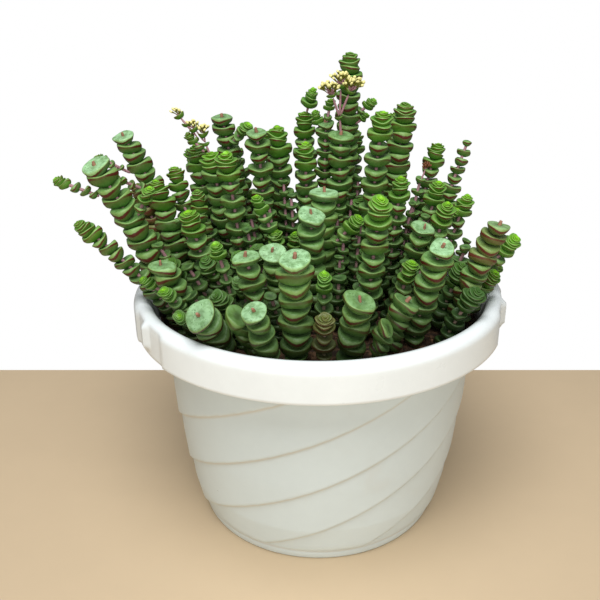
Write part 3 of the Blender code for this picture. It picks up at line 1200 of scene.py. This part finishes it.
class Solid:
    """A shoot's solid as the frame has it: rings of points from its foot to its tip."""

    HEAD_RINGS = 5

    def __init__(self, node: str, growth: tuple = (0.0, 0.0, 1.0), head: bool = False) -> None:
        """Walks up the solid ring by ring.

        Args:
            node: the solid's name.
            growth: roughly which way it grows, which tells its foot from its tip.
            head: whether its last rings are a flower head.
        """
        bm = bmesh.new()
        bm.from_mesh(frame["nodes"][node].data)
        bmesh.ops.remove_doubles(bm, verts=bm.verts, dist=0.01 * MM)
        bm.normal_update()
        bm.verts.index_update()
        bm.verts.ensure_lookup_table()
        end = min(bm.faces, key=lambda face: face.calc_center_median().dot(Vector(growth)))
        ring = {v.index for face in bm.faces if face.normal.dot(end.normal) > 0.9999
                for v in face.verts}
        seen: set[int] = set()
        centres, reaches = [], []
        while ring:
            seen |= ring
            places = [bm.verts[i].co / MM for i in sorted(ring)]
            centre = sum(places, Vector()) / len(places)
            centres.append(centre)
            reaches.append(sum((place - centre).length for place in places) / len(places))
            ring = {edge.other_vert(bm.verts[i]).index
                    for i in ring for edge in bm.verts[i].link_edges} - seen
        bm.free()
        last = len(centres) - (self.HEAD_RINGS if head else 0)
        self.path = StemPath(centres[:last])
        self.radius = max(reaches[:last])


@dataclass(frozen=True)
class Habit:
    """How a shoot looks, apart from its place and size.

    azimuth turns the top pair; 0 has a leaf tip towards the front. pitch is the stem's length
    for each pair. tint runs from grey green to yellow green, margin is how red the leaf edges
    are, and fuller widens the leaves. nod tips the top leaves, and bow is the share of it that
    the lower ones keep.
    """

    top: Top
    azimuth: float = 0.0
    pitch: float = 5.0
    tint: float = 0.35
    margin: float = 0.8
    upright: float = 0.4
    fuller: float = 1.09
    plump: bool = False
    fresh: float = 1.0
    wax: float = 0.75
    nod: tuple[float, float] = (0.0, -0.28)
    bow: float = 0.5
    taper: float = 0.0
    # deep: a darker green for shoots in the thick of the plant, partly painted shade
    deep: float = 0.0


@dataclass(frozen=True)
class Shoot:
    """One shoot: its stem's path, the reach of its leaves and its habit."""

    path: StemPath
    radius: float
    habit: Habit

    ROSETTE_SIZES = (0.22, 0.34, 0.47, 0.61, 0.75, 0.88, 0.97)
    ROSETTE_STEPS = (0.07, 0.09, 0.12, 0.16, 0.24, 0.38, 0.62)
    STUB_REACH = 6.6
    FIRST_DEPTH = 0.10
    FOOT_SHARE, FOOT_SIZE = 0.35, 0.86
    TAPER_LENGTH = 26.0
    NOD_LENGTH = 3.2

    def heading(self, share: float) -> Vector:
        """The direction that a leaf pair faces at a share of the stem's length."""
        along = self.path.heading(share)
        return along.lerp(Vector((0.0, 0.0, 1.0)), self.habit.upright).normalized()

    def stations(self, chance: random.Random) -> list[dict]:
        """The places where leaf pairs stand, from the tip down, with their attributes.

        Args:
            chance: the random numbers for small differences.

        Returns:
            One record for each place: point, axis, size, azimuth, form, young, bloom.
        """
        habit, length = self.habit, self.path.length
        rows, pairs = [], []
        depth = 0.0
        if habit.top in (Top.ROSETTE, Top.BUDS):
            for share, step in zip(self.ROSETTE_SIZES, self.ROSETTE_STEPS):
                pairs.append((depth, share, Form.YOUNG, min(1.0, 1.2 - share) * habit.fresh))
                depth += step * self.radius
        elif habit.top in (Top.CUT, Top.UMBEL):
            depth = self.FIRST_DEPTH * self.radius
            rows.append(self._row(1.0, self.STUB_REACH, 0.0, Form.STUB, 0.0, 0.0))
            rows[0]["axis"] = (rows[0]["axis"] + Vector((*habit.nod, 0.0))).normalized()
            pairs.append((depth, 1.0, Form.OPEN, 0.0))
            depth += habit.pitch * (0.92 + 0.1 * chance.random())
        first = len(pairs)
        while depth < length - 1.0:
            share = (length - depth) / length
            young = 0.27 if habit.top is Top.ROSETTE and len(pairs) == first else 0.0
            size = 1.0
            if share <= self.FOOT_SHARE:
                size = self.FOOT_SIZE + 0.14 * share / self.FOOT_SHARE
            size *= 1.0 - habit.taper * max(0.0, 1.0 - depth / self.TAPER_LENGTH)
            pairs.append((depth, size, Form.PLUMP if habit.plump else Form.BOAT, young))
            depth += habit.pitch * (0.92 + 0.16 * chance.random())
        for number, (depth, size, form, young) in enumerate(pairs):
            turning = max(habit.bow, 1.0 - depth / (self.NOD_LENGTH * self.radius))
            if habit.top in (Top.PLAIN, Top.HUSK):
                turning = habit.bow
            jitter = 0.94 + 0.12 * chance.random()
            row = self._row(1.0 - depth / length, self.radius * habit.fuller * size * jitter,
                            habit.azimuth + 90.0 * number + chance.uniform(-9.0, 9.0), form,
                            young, habit.wax if form is Form.OPEN else 0.0)
            row["axis"] = (row["axis"] + Vector((*habit.nod, 0.0)) * turning).normalized()
            row["tint"] = held(habit.tint + chance.uniform(-0.3, 0.3))
            row["margin"] = habit.margin * chance.uniform(0.75, 1.25)
            rows.append(row)
        return rows

    def _row(self, share: float, size: float, azimuth: float, form: Form, young: float,
             bloom: float) -> dict:
        """One place on the stem.

        Args:
            share: the share of the stem's length.
            size: the leaves' reach in millimetres.
            azimuth: the turn of the pair in degrees.
            form: the leaf shape.
            young: how young the pair is.
            bloom: how much its open faces are waxed.

        Returns:
            The record of its attributes.
        """
        return {"point": self.path.at(share), "axis": self.heading(share), "size": size,
                "azimuth": math.radians(azimuth + 90.0), "form": form.value, "young": young,
                "bloom": bloom, "tint": self.habit.tint, "margin": self.habit.margin,
                "dryness": 0.0, "thickness": 1.0, "deep": self.habit.deep}

    def root_row(self) -> dict:
        """The bare foot of the stem."""
        return self._row(0.0, 1.0, 0.0, Form.NONE, 0.0, 0.0)


class ShootBuilder:
    """Threads leaf pairs on stems with one Geometry Nodes tree."""

    FLOATS = ("size", "azimuth", "young", "bloom", "tint", "margin", "dryness", "thickness",
              "deep")
    FORMS = (("Boat Leaf", Form.BOAT), ("Young Leaf", Form.YOUNG), ("Open Leaf", Form.OPEN),
             ("Stub", Form.STUB), ("Plump Leaf", Form.PLUMP), ("Bud", Form.BUD))
    BARE_TOPS = {Top.ROSETTE: 3, Top.BUDS: 3, Top.PLAIN: 0, Top.HUSK: 0}

    def __init__(self, finishes: Finishes, stem_radius: float = 0.80, tilt: float = 0.13,
                 wobble: float = 2.6) -> None:
        """Makes the leaf cages and the tree.

        Args:
            finishes: the plant's materials.
            stem_radius: the stem's radius in millimetres.
            tilt: the most that a pair leans off its stem, in radians.
            wobble: how far the leaves are pushed out of shape, in millimetres.
        """
        self.finishes = finishes
        self.stem_radius = stem_radius
        self.tilt = tilt
        self.wobble = wobble * MM
        self.cages = {
            "Boat Leaf": BOAT_PAIR.build("boat_pair"),
            "Plump Leaf": PLUMP_PAIR.build("plump_pair"),
            "Young Leaf": YOUNG_PAIR.build("young_pair"),
            "Open Leaf": OPEN_PAIR.build("open_pair"),
            "Stub": self._stub(),
            "Bud": self._bud(),
        }
        self.tree, self.ids = self._tree()

    @staticmethod
    def _stub() -> bpy.types.Object:
        """The square end of a cut stem, standing just above the top leaves."""
        rings = [(0.0, 0.22 / MM), (0.07 / MM, 0.27 / MM), (0.115 / MM, 0.25 / MM),
                 (0.12 / MM, 0.12 / MM), (0.15 / MM, 0.04 / MM), (0.15 / MM, -0.1 / MM),
                 (0.0, -0.1 / MM)]
        points, faces = lathe(rings, 8)
        faces = [tuple(reversed(f)) for f in faces]
        stub = mesh_object("cut_stub", [(x, y * 0.8, z) for x, y, z in points], faces=faces)
        set_attribute(stub.data, "profile", [0.0] * len(points))
        set_attribute(stub.data, "cut_end", [0.9] * len(points))
        return stub

    @staticmethod
    def _bud() -> bpy.types.Object:
        """A closed flower bud on its pointed calyx, one unit in radius."""
        rings = [(0.0, -3.9), (0.20, -3.8), (0.42, -2.2), (0.78, -0.75), (0.98, 0.0),
                 (0.82, 0.62), (0.42, 0.95), (0.0, 1.05)]
        points, faces = lathe([(r / MM, z / MM) for r, z in rings], 8)
        bud = mesh_object("flower_bud", points, faces=faces)
        set_attribute(bud.data, "petal", [held(z + 0.75) for _, _, z in points])
        return bud

    def _tree(self) -> tuple[bpy.types.NodeTree, dict[str, str]]:
        """Builds the tree: each cage stands on the places of its form, and tubes follow stems.

        Returns:
            The tree and the identifiers of its inputs by name.
        """
        g = GroupGraph("Thread leaves", "Geometry", (
            ("Geometry", "Geometry", None), *((name, "Object", None) for name, _ in self.FORMS),
            ("Tilt", "Float", 0.1), ("Wobble", "Float", 0.002),
            ("Stem Radius", "Float", 0.001), ("Seed", "Int", 0),
            ("Leaf Finish", "Material", None), ("Stem Finish", "Material", None),
            ("Bud Finish", "Material", None),
        ), (("Geometry", "Geometry"),))
        given = g.given

        def named(name: str, kind: str = "FLOAT") -> bpy.types.NodeSocket:
            """A point attribute as a field."""
            node = g.add("GeometryNodeInputNamedAttribute", {"Name": name}, data_type=kind)
            return node.outputs[0]

        low = g.times(given["Tilt"], -1.0)
        lean = [g.add("FunctionNodeRandomValue", {
            2: low, 3: given["Tilt"], "Seed": g.plus(given["Seed"], float(offset)),
        }, data_type="FLOAT").outputs[1] for offset in (0, 1)]
        spin = g.add("ShaderNodeCombineXYZ", {0: lean[0], 1: lean[1], 2: named("azimuth")})
        local = g.add("FunctionNodeEulerToRotation", {0: spin.outputs[0]})
        upright = g.add("FunctionNodeAlignRotationToVector", {
            "Vector": named("axis", "FLOAT_VECTOR")}, axis="Z")
        turned = g.add("FunctionNodeRotateRotation", {
            0: upright.outputs[0], 1: local.outputs[0]}, rotation_space="LOCAL")
        scale = g.add("ShaderNodeCombineXYZ", {axis: named("size") for axis in range(3)})
        join = g.add("GeometryNodeJoinGeometry")
        form = named("form", "INT")
        dresses = {Form.STUB: "Stem Finish", Form.BUD: "Bud Finish"}
        place = g.add("GeometryNodeInputPosition").outputs[0]
        uneven = g.add("ShaderNodeTexNoise", {"Vector": place, "Scale": 150.0, "Detail": 1.0})
        centred = g.add("ShaderNodeVectorMath", {0: uneven.outputs["Color"],
                                                 1: (0.5, 0.5, 0.5)}, operation="SUBTRACT")
        shift = g.scaled(centred.outputs[0], given["Wobble"])
        for name, kind in self.FORMS:
            chosen = g.add("FunctionNodeCompare", {2: form, 3: kind.value}, data_type="INT",
                           operation="EQUAL")
            info = g.add("GeometryNodeObjectInfo", {"Object": given[name]})
            placed = g.add("GeometryNodeInstanceOnPoints", {
                "Points": given["Geometry"], "Selection": chosen.outputs[0],
                "Instance": info.outputs["Geometry"], "Rotation": turned.outputs[0],
                "Scale": scale.outputs[0],
            })
            real = g.add("GeometryNodeRealizeInstances", {0: placed.outputs[0]})
            bent = g.add("GeometryNodeSetPosition", {
                "Geometry": real.outputs[0], "Offset": shift})
            material = given[dresses.get(kind, "Leaf Finish")]
            dressed = g.add("GeometryNodeSetMaterial", {
                "Geometry": bent.outputs[0], "Material": material})
            g.feed(join.inputs[0], dressed.outputs[0])
        paths = g.add("GeometryNodeMeshToCurve", {0: given["Geometry"]})
        circle = g.add("GeometryNodeCurvePrimitiveCircle", {
            "Resolution": 6, "Radius": given["Stem Radius"]})
        tube = g.add("GeometryNodeCurveToMesh", {
            "Curve": paths.outputs[0], "Profile Curve": circle.outputs[0],
            "Scale": named("thickness"), "Fill Caps": True})
        stems = g.add("GeometryNodeSetMaterial", {
            "Geometry": tube.outputs[0], "Material": given["Stem Finish"]})
        g.feed(join.inputs[0], stems.outputs[0])
        return g.close(join.outputs[0]), g.ids

    def thread(self, name: str, shoots: list[Shoot], seed: int) -> bpy.types.Object:
        """Makes one piece from a group of shoots.

        Args:
            name: the piece's name.
            shoots: the shoots in it.
            seed: the start of its random numbers.

        Returns:
            The piece as a plain mesh with one live subdivision.
        """
        chance = random.Random(seed)
        rows, edges = [], []
        for shoot in shoots:
            stations = shoot.stations(chance)
            start = len(rows)
            rows += stations
            rows.append(shoot.root_row())
            first = start + self.BARE_TOPS.get(shoot.habit.top, 1)
            edges += [(i, i + 1) for i in range(first, len(rows) - 1)]
        return self.grow(name, rows, edges, seed)

    def grow(self, name: str, rows: list[dict], edges: list, seed: int) -> bpy.types.Object:
        """Makes one piece from places and the stems between them.

        Args:
            name: the piece's name.
            rows: the places, with their attributes.
            edges: pairs of places that a stem joins.
            seed: the start of its random numbers.

        Returns:
            The piece as a plain mesh with one live subdivision.
        """
        source = mesh_object(name + "_source", [row["point"] * MM for row in rows], edges=edges)
        for key in self.FLOATS:
            unit = MM if key == "size" else 1.0
            set_attribute(source.data, key, [row[key] * unit for row in rows])
        set_attribute(source.data, "form", [row["form"] for row in rows], "INT")
        set_attribute(source.data, "axis", [tuple(row["axis"]) for row in rows], "FLOAT_VECTOR")
        piece = grown(source, name, self.tree, self.ids, {
            **self.cages, "Tilt": self.tilt, "Wobble": self.wobble,
            "Stem Radius": self.stem_radius * MM, "Seed": seed,
            "Leaf Finish": self.finishes.leaf, "Stem Finish": self.finishes.stem,
            "Bud Finish": self.finishes.bud,
        })
        rounding = piece.modifiers.new("rounding", "SUBSURF")
        rounding.levels = rounding.render_levels = 1
        return piece

    def clear(self) -> None:
        """Removes the cages once every piece is made."""
        for cage in self.cages.values():
            bpy.data.objects.remove(cage)


def cut(**looks) -> Habit:
    """A shoot whose top was pruned, so that its open top pair shows."""
    return Habit(Top.CUT, **looks)


def tipped(**looks) -> Habit:
    """A shoot that ends in a young rosette."""
    return Habit(Top.ROSETTE, **looks)


def plain(**looks) -> Habit:
    """A shoot that ends in ordinary leaves."""
    return Habit(Top.PLAIN, **looks)


@dataclass
class ShootGroup:
    """Shoots that make one piece, one for each solid from a first number on."""

    name: str
    prefix: str
    first: int
    habits: list[Habit]

    def nodes(self) -> list[str]:
        """The names of the solids in the same order as the habits."""
        return [f"{self.prefix}_shoot_{self.first + i}" for i in range(len(self.habits))]

    def shoots(self) -> dict[str, Shoot]:
        """Every shoot by its solid's name, with its path and size from the frame."""
        made = {}
        for node, habit in zip(self.nodes(), self.habits):
            solid = Solid(node, head=habit.top in (Top.UMBEL, Top.BUDS, Top.HUSK))
            made[node] = Shoot(solid.path, solid.radius, habit)
        return made


GROUPS = [
    ShootGroup("front_shoots", "front", 1, [
        cut(pitch=5.3, plump=True, nod=(0.0, 0.10)),
        cut(azimuth=-70, pitch=5.2, margin=1.0, plump=True, wax=0.5, nod=(0.0, -0.15)),
        cut(azimuth=-35, pitch=5.4, margin=0.5, plump=True),
        cut(azimuth=-30, pitch=4.8, margin=1.0, plump=True, upright=0.3, wax=0.6, fuller=1.12),
        plain(tint=1.0, margin=0.4, plump=True, pitch=4.6, nod=(0.9, 0.1), bow=1.0,
              fuller=1.25),
        tipped(margin=2.2, fresh=0.4, pitch=4.8, fuller=1.2),
        cut(azimuth=60, pitch=5.7, margin=0.8, plump=True, wax=0.2, nod=(0.1, 0.05)),
        cut(azimuth=30, plump=True, wax=0.1, nod=(0.6, 0.35), bow=0.8),
        plain(tint=0.5, plump=True, nod=(1.0, -0.1), bow=1.0, fuller=1.2),
        cut(azimuth=5, margin=1.0, plump=True, nod=(-0.15, -0.2)),
        tipped(margin=0.3),
    ]),
    ShootGroup("left_shoots", "left", 1, [
        cut(nod=(0.15, -0.42), bow=0.7, margin=1.2),
        cut(nod=(0.15, -0.42), bow=0.6, margin=1.1),
        tipped(pitch=4.0, margin=1.3, fresh=0.7),
        tipped(pitch=4.6, margin=1.1),
        cut(margin=1.3, azimuth=50, wax=0.3, nod=(0.2, 0.0), pitch=4.6),
        tipped(margin=1.1, pitch=5.2, fuller=1.15),
        tipped(pitch=5.8, margin=0.3),
    ]),
    ShootGroup("right_shoots", "right", 1, [
        cut(margin=1.5, pitch=4.1, plump=True, wax=0.3, upright=0.3, nod=(0.1, -0.1)),
        tipped(margin=1.2),
        tipped(margin=0.6, tint=0.7),
        tipped(margin=1.1),
        plain(pitch=4.0, taper=0.45, margin=1.1, fuller=1.15),
        tipped(tint=0.7),
        tipped(tint=0.6, margin=1.1),
    ]),
    ShootGroup("middle_left_shoots", "middle", 1, [
        tipped(pitch=5.6),
        Habit(Top.BUDS),
        cut(wax=0.3, margin=1.1),
        tipped(),
        tipped(),
        tipped(),
        cut(azimuth=70, margin=0.5),
        cut(azimuth=25, pitch=5.7, margin=0.6, plump=True, nod=(0.0, -0.2)),
        cut(azimuth=80, margin=0.4, tint=0.6, plump=True, nod=(0.0, -0.2)),
    ]),
    ShootGroup("middle_right_shoots", "middle", 10, [
        tipped(pitch=5.2, fuller=1.15),
        tipped(),
        tipped(pitch=4.9),
        tipped(tint=1.0),
        cut(azimuth=80, wax=0.5, nod=(0.0, -0.2)),
        tipped(),
        Habit(Top.HUSK, taper=0.3),
    ]),
    ShootGroup("back_left_shoots", "back", 1, [
        tipped(),
        cut(wax=0.35, margin=1.1),
        tipped(),
        tipped(fuller=1.13),
        Habit(Top.UMBEL, wax=0.15, azimuth=90),
        cut(wax=0.2, pitch=4.5, fuller=1.15),
        tipped(fresh=0.4, pitch=4.6),
    ]),
    ShootGroup("back_right_shoots", "back", 8, [
        tipped(pitch=4.6, fuller=1.15),
        tipped(fresh=0.5, pitch=4.5, margin=1.2),
        tipped(),
        tipped(),
        tipped(),
        tipped(),
        tipped(fresh=0.6),
        tipped(),
    ]),
]


@dataclass
class Undergrowth:
    """Shorter shoots that fill the pot between the tall ones, spaced and leaning by rule."""

    spacing: float = 7.2
    reach: float = 59.0
    front_edge: float = -34.0
    tries: int = 1600
    lean: float = 1.08
    lean_spread: float = 0.14
    left_lean: float = 0.16
    height: float = 12.0
    rise: float = 0.36
    seed: int = 3

    def grow(self, taken: list[Shoot]) -> list[Shoot]:
        """Picks feet in the gaps and gives each a shoot.

        Args:
            taken: the tall shoots.

        Returns:
            The short shoots.
        """
        chance = random.Random(self.seed)
        feet = [shoot.path.at(0.0).xy for shoot in taken]
        made = []
        for _ in range(self.tries):
            angle, out = chance.uniform(0.0, math.tau), math.sqrt(chance.random()) * self.reach
            foot = Vector((out * math.sin(angle), -out * math.cos(angle)))
            near = min((foot - other).length for other in feet)
            if near < self.spacing or foot.y < self.front_edge:
                continue
            feet.append(foot)
            lean = self.lean + self.lean_spread * chance.random()
            lean += self.left_lean * max(0.0, -foot.x / self.reach)
            height = SOIL_TOP + self.height + self.rise * (foot.y + 60.0)
            height += chance.uniform(-4.0, 4.0)
            radius = chance.uniform(3.9, 5.3)
            # the short shoots take a high deep, which is partly painted shade
            habit = Habit(
                Top.ROSETTE if chance.random() < 0.35 else Top.PLAIN,
                azimuth=chance.uniform(-90.0, 90.0), tint=chance.uniform(0.1, 0.8),
                margin=chance.uniform(0.3, 0.9), fresh=chance.uniform(0.15, 0.6),
                taper=0.5, pitch=chance.uniform(4.4, 5.2), deep=chance.uniform(0.35, 0.85),
                bow=0.25)
            path = StemPath.leaning(Vector((*foot, SOIL_TOP)), Vector((*(foot * lean), height)))
            made.append(Shoot(path, radius, habit))
        return made


@dataclass(frozen=True)
class SideShoot:
    """A short shoot that leaves the flank of a parent: where, which way, how far, how wide."""

    parent: str
    share: float
    growth: tuple
    radius: float
    margin: float = 0.5
    tint: float = 0.35

    def shoot(self, parents: dict[str, Shoot]) -> Shoot:
        """Makes the shoot, beginning among its parent's leaves.

        Args:
            parents: the rooted shoots by name.

        Returns:
            The shoot.
        """
        parent = parents[self.parent]
        growth = Vector(self.growth)
        start = parent.path.at(self.share) + growth.normalized() * parent.radius * 0.8
        habit = tipped(pitch=4.2, margin=self.margin, tint=self.tint)
        return Shoot(StemPath([start, start + growth]), self.radius, habit)


@dataclass(frozen=True)
class Neighbour:
    """A rooted shoot that runs beside a parent, apart from it by low at the foot, high on top."""

    parent: str
    low: tuple
    high: tuple
    radius: float
    habit: Habit

    def shoot(self, parents: dict[str, Shoot]) -> Shoot:
        """Makes the shoot beside its parent.

        Args:
            parents: the rooted shoots by name.

        Returns:
            The shoot.
        """
        path = parents[self.parent].path
        foot, tip = path.at(0.0) + Vector((*self.low, 0.0)), path.at(1.0) + Vector(self.high)
        return Shoot(StemPath.leaning(foot, tip), self.radius, self.habit)


YOUNG_GROWTH = [
    Neighbour("left_shoot_4", (5, 8), (6, 12, 3), 4.6, tipped(margin=1.1, pitch=4.6)),
    Neighbour("left_shoot_4", (11, 0), (17, 1, -5), 4.0,
              tipped(margin=1.5, fresh=0.5, pitch=4.4)),
    Neighbour("left_shoot_4", (-4, 4), (-9, 3, -2), 4.4,
              tipped(margin=1.9, fresh=0.4, pitch=4.2)),
    Neighbour("left_shoot_1", (2, 10), (9, 4, -23), 4.6,
              tipped(margin=1.3, fresh=0.3, pitch=4.2)),
    SideShoot("back_shoot_7", 0.70, (9, 1, 7), 2.5),
    SideShoot("back_shoot_7", 0.66, (6, -1, 5), 2.0),
    SideShoot("back_shoot_6", 0.88, (-4, 2, 10), 2.7),
    SideShoot("back_shoot_6", 0.94, (2, 2, 11), 2.4),
    SideShoot("back_shoot_4", 0.94, (3, 0, 11), 3.6),
    SideShoot("back_shoot_2", 0.80, (8, -8, 10), 3.0, margin=0.7),
    SideShoot("middle_shoot_2", 0.95, (-8, 3, 8), 2.6, margin=1.0),
    SideShoot("middle_shoot_5", 0.80, (-7, 1, 18), 3.2, margin=0.3),
    SideShoot("left_shoot_5", 0.45, (-12, 1, 8), 2.8, margin=0.3),
    SideShoot("left_shoot_5", 0.35, (-5, -9, 11), 3.0, margin=0.2),
    SideShoot("left_shoot_5", 0.20, (-2, -12, 8), 2.8, margin=0.4),
    SideShoot("left_shoot_1", 0.60, (6, -3, 12), 3.0, margin=1.2),
    SideShoot("left_shoot_4", 0.88, (-14, -7, 8), 2.6, margin=1.5),
    SideShoot("middle_shoot_9", 0.45, (12, -4, 14), 3.4, margin=0.2, tint=1.0),
    SideShoot("middle_shoot_15", 0.60, (9, -7, 8), 3.2, margin=0.4),
]


@dataclass(frozen=True)
class FlowerHead:
    """A branched head of buds: its root, fork and clusters as places from its shoot's tip."""

    GOLDEN_ANGLE = math.radians(137.5)

    parent: str
    fork: tuple
    clusters: tuple
    root: tuple = (0.0, 0.0, -1.0)
    buds: int = 19
    reach: float = 4.6
    bud: float = 0.84
    stalk: float = 0.55
    dryness: float = 0.0

    def row(self, point, axis=(0, 0, 1), size: float = 1.0, form: Form = Form.NONE,
            thickness: float = 1.0) -> dict:
        """One place of the head.

        Args:
            point: where it is, in millimetres.
            axis: the way it faces.
            size: its reach in millimetres.
            form: what stands there.
            thickness: the stalk's thickness.

        Returns:
            The record of its attributes.
        """
        return {"point": Vector(point), "axis": Vector(axis).normalized(), "size": size,
                "azimuth": 0.4, "form": form.value, "young": 0.3, "bloom": 0.0, "tint": 0.8,
                "margin": 0.9, "dryness": self.dryness, "thickness": thickness,
                "deep": 0.0}

    def parts(self, parents: dict[str, Shoot], chance: random.Random) -> tuple[list, list]:
        """The head's places and stems.

        Args:
            parents: the rooted shoots by name.
            chance: the random numbers for the buds' places.

        Returns:
            The places with their attributes, and the pairs that a stalk joins.
        """
        tip = parents[self.parent].path.at(1.0)
        fork = tip + Vector(self.fork)
        rows = [self.row(tip + Vector(self.root), thickness=self.stalk * 1.3),
                self.row(fork, thickness=self.stalk * 1.2),
                self.row(fork, size=2.1 * (1.0 - self.dryness), form=Form.YOUNG)]
        edges = [(0, 1)]
        for cluster in self.clusters:
            centre = tip + Vector(cluster)
            knot = len(rows)
            base = centre + (fork - centre).normalized() * self.reach * 0.9
            rows.append(self.row(base, thickness=self.stalk))
            edges.append((1, knot))
            rows.append(self.row(base, centre - base, 2.6 * (1.0 - self.dryness), Form.YOUNG))
            for number in range(self.buds):
                turn = number * self.GOLDEN_ANGLE
                out = math.sqrt((number + 0.5) / self.buds)
                end = centre + Vector((
                    out * math.cos(turn), out * math.sin(turn),
                    0.55 * (1.0 - out**2) - 0.25 * chance.random())) * self.reach
                way = (end - base).normalized()
                size = self.bud * chance.uniform(0.75, 1.15)
                edges.append((knot, len(rows)))
                rows.append(self.row(end - way * size * 3.0, thickness=self.stalk * 0.45))
                rows.append(self.row(end, way, size, Form.BUD))
        return rows, edges


FLOWER_HEADS = [
    FlowerHead("back_shoot_5", (-0.8, 0, 7.2), ((-5.4, 0, 20.6), (-0.2, 2, 24.6), (5, 0, 22.2)),
               stalk=0.8),
    FlowerHead("middle_shoot_2", (-2, 1, 4), ((-3, 2, 10.5), (-8, 3, 12)), buds=11, reach=2.9,
               bud=0.66, stalk=0.6),
    FlowerHead("middle_shoot_2", (-10, 3, 11.5), ((-14.5, 4, 17),), root=(-5, 2, 6), buds=9,
               reach=2.6, bud=0.7, stalk=0.6),
    FlowerHead("middle_shoot_16", (1.4, 1, 2), ((2.6, 2, 6.2),), buds=15, reach=2.3, bud=0.6,
               stalk=0.5, dryness=1.0),
]


# ---------------------------------------------------------------- stage


@dataclass
class Studio:
    """The plain floor, the backdrop, the soft lights and the camera."""

    effects: SharedEffects
    camera_place: tuple = (0.0, -0.2922, 0.2172)
    camera_pitch: float = 23.07
    lens: float = 45.0
    shift: float = -0.0315
    world_light: float = 0.24
    aim_height: float = 0.10
    table_box: tuple = (-0.8, -0.7, 0.8, 0.1095)

    def build(self) -> None:
        """Sets the whole stage."""
        self._floor()
        self._lights()
        self._camera()

    def _floor(self) -> None:
        """A pale table top; beyond its back edge the white world shows."""
        left, front, right, back = self.table_box
        table = mesh_object("table_top", [(left, front, 0), (right, front, 0),
                                          (right, back, 0), (left, back, 0)],
                            faces=[(0, 1, 2, 3)])
        table.data.materials.append(
            StageFinish("pale_table", roughness=0.6, specular=0.2).build(self.effects))

    def _lights(self) -> None:
        """A bright white world, a big soft light overhead and a weaker one in front."""
        scene = bpy.context.scene
        world = bpy.data.worlds.new("studio")
        world.use_nodes = True
        background = world.node_tree.nodes["Background"]
        background.inputs["Color"].default_value = (1.0, 1.0, 1.0, 1.0)
        g = Graph(world.node_tree)
        seen = g.add("ShaderNodeLightPath").outputs["Is Camera Ray"]
        strength = g.plus(g.times(seen, 1.0 - self.world_light), self.world_light)
        g.feed(background.inputs["Strength"], strength)
        scene.world = world
        for name, place, size, power in (
            ("overhead", (-0.04, -0.30, 0.78), 0.5, 5.4),
            ("front_fill", (0.05, -0.95, 0.40), 0.6, 3.6),
        ):
            light = bpy.data.lights.new(name, "AREA")
            light.size = size
            light.energy = power
            lamp = linked(name, light)
            lamp.location = place
            aim = Vector((0.0, 0.0, self.aim_height)) - lamp.location
            lamp.rotation_euler = aim.to_track_quat("-Z", "Y").to_euler()
        scene.view_settings.view_transform = "Standard"
        scene.view_settings.exposure = 0.0

    def _camera(self) -> None:
        """The camera, a little above the rim and looking down at the pot."""
        data = bpy.data.cameras.new("camera")
        data.lens = self.lens
        data.sensor_width = 36.0
        data.shift_x = self.shift
        data.clip_start = 0.01
        camera = linked("camera", data)
        camera.location = self.camera_place
        camera.rotation_euler = (math.radians(90.0 - self.camera_pitch), 0.0, 0.0)
        bpy.context.scene.camera = camera


SIDE_NODES = ("side_shoot_1", "side_shoot_2")
UNDERGROWTH_PIECES = 4
GROUP_SEED, SIDE_SEED, UNDERGROWTH_SEED, YOUNG_SEED = 11, 40, 50, 60
BUD_SEED, HEAD_SEED = 70, 71


def main() -> None:
    """Builds the whole scene in order."""
    logging.basicConfig(level=logging.INFO, format="%(name)s %(message)s")
    finishes = Finishes()
    Pot(finishes.plastic).build()
    Soil(finishes.soil).build()
    builder = ShootBuilder(finishes)
    parents: dict[str, Shoot] = {}
    for number, group in enumerate(GROUPS):
        shoots = group.shoots()
        parents.update(shoots)
        piece = builder.thread(group.name, list(shoots.values()), GROUP_SEED + number)
        finish_piece(piece, group.nodes())
    solids = [Solid(name, growth=(-1.0, 0.0, 0.3)) for name in SIDE_NODES]
    sides = [Shoot(solid.path, solid.radius, tipped(pitch=4.2)) for solid in solids]
    finish_piece(builder.thread("side_shoots", sides, SIDE_SEED), SIDE_NODES)
    young = [growth.shoot(parents) for growth in YOUNG_GROWTH]
    finish_piece(builder.thread("young_growth", young, YOUNG_SEED))
    chance = random.Random(BUD_SEED)
    rows, edges = [], []
    for head in FLOWER_HEADS:
        more_rows, more_edges = head.parts(parents, chance)
        edges += [(a + len(rows), b + len(rows)) for a, b in more_edges]
        rows += more_rows
    finish_piece(builder.grow("flower_heads", rows, edges, HEAD_SEED))
    short = Undergrowth().grow(list(parents.values()))
    LOG.info("undergrowth: %d shoots", len(short))
    short.sort(key=lambda shoot: math.atan2(*shoot.path.at(0.0).xy))
    share = math.ceil(len(short) / UNDERGROWTH_PIECES)
    for number in range(UNDERGROWTH_PIECES):
        part = short[number * share:(number + 1) * share]
        piece = builder.thread(f"undergrowth_{number + 1}", part, UNDERGROWTH_SEED + number)
        finish_piece(piece)
    builder.clear()
    Studio(finishes.effects).build()


if __name__ == "__main__":
    main()
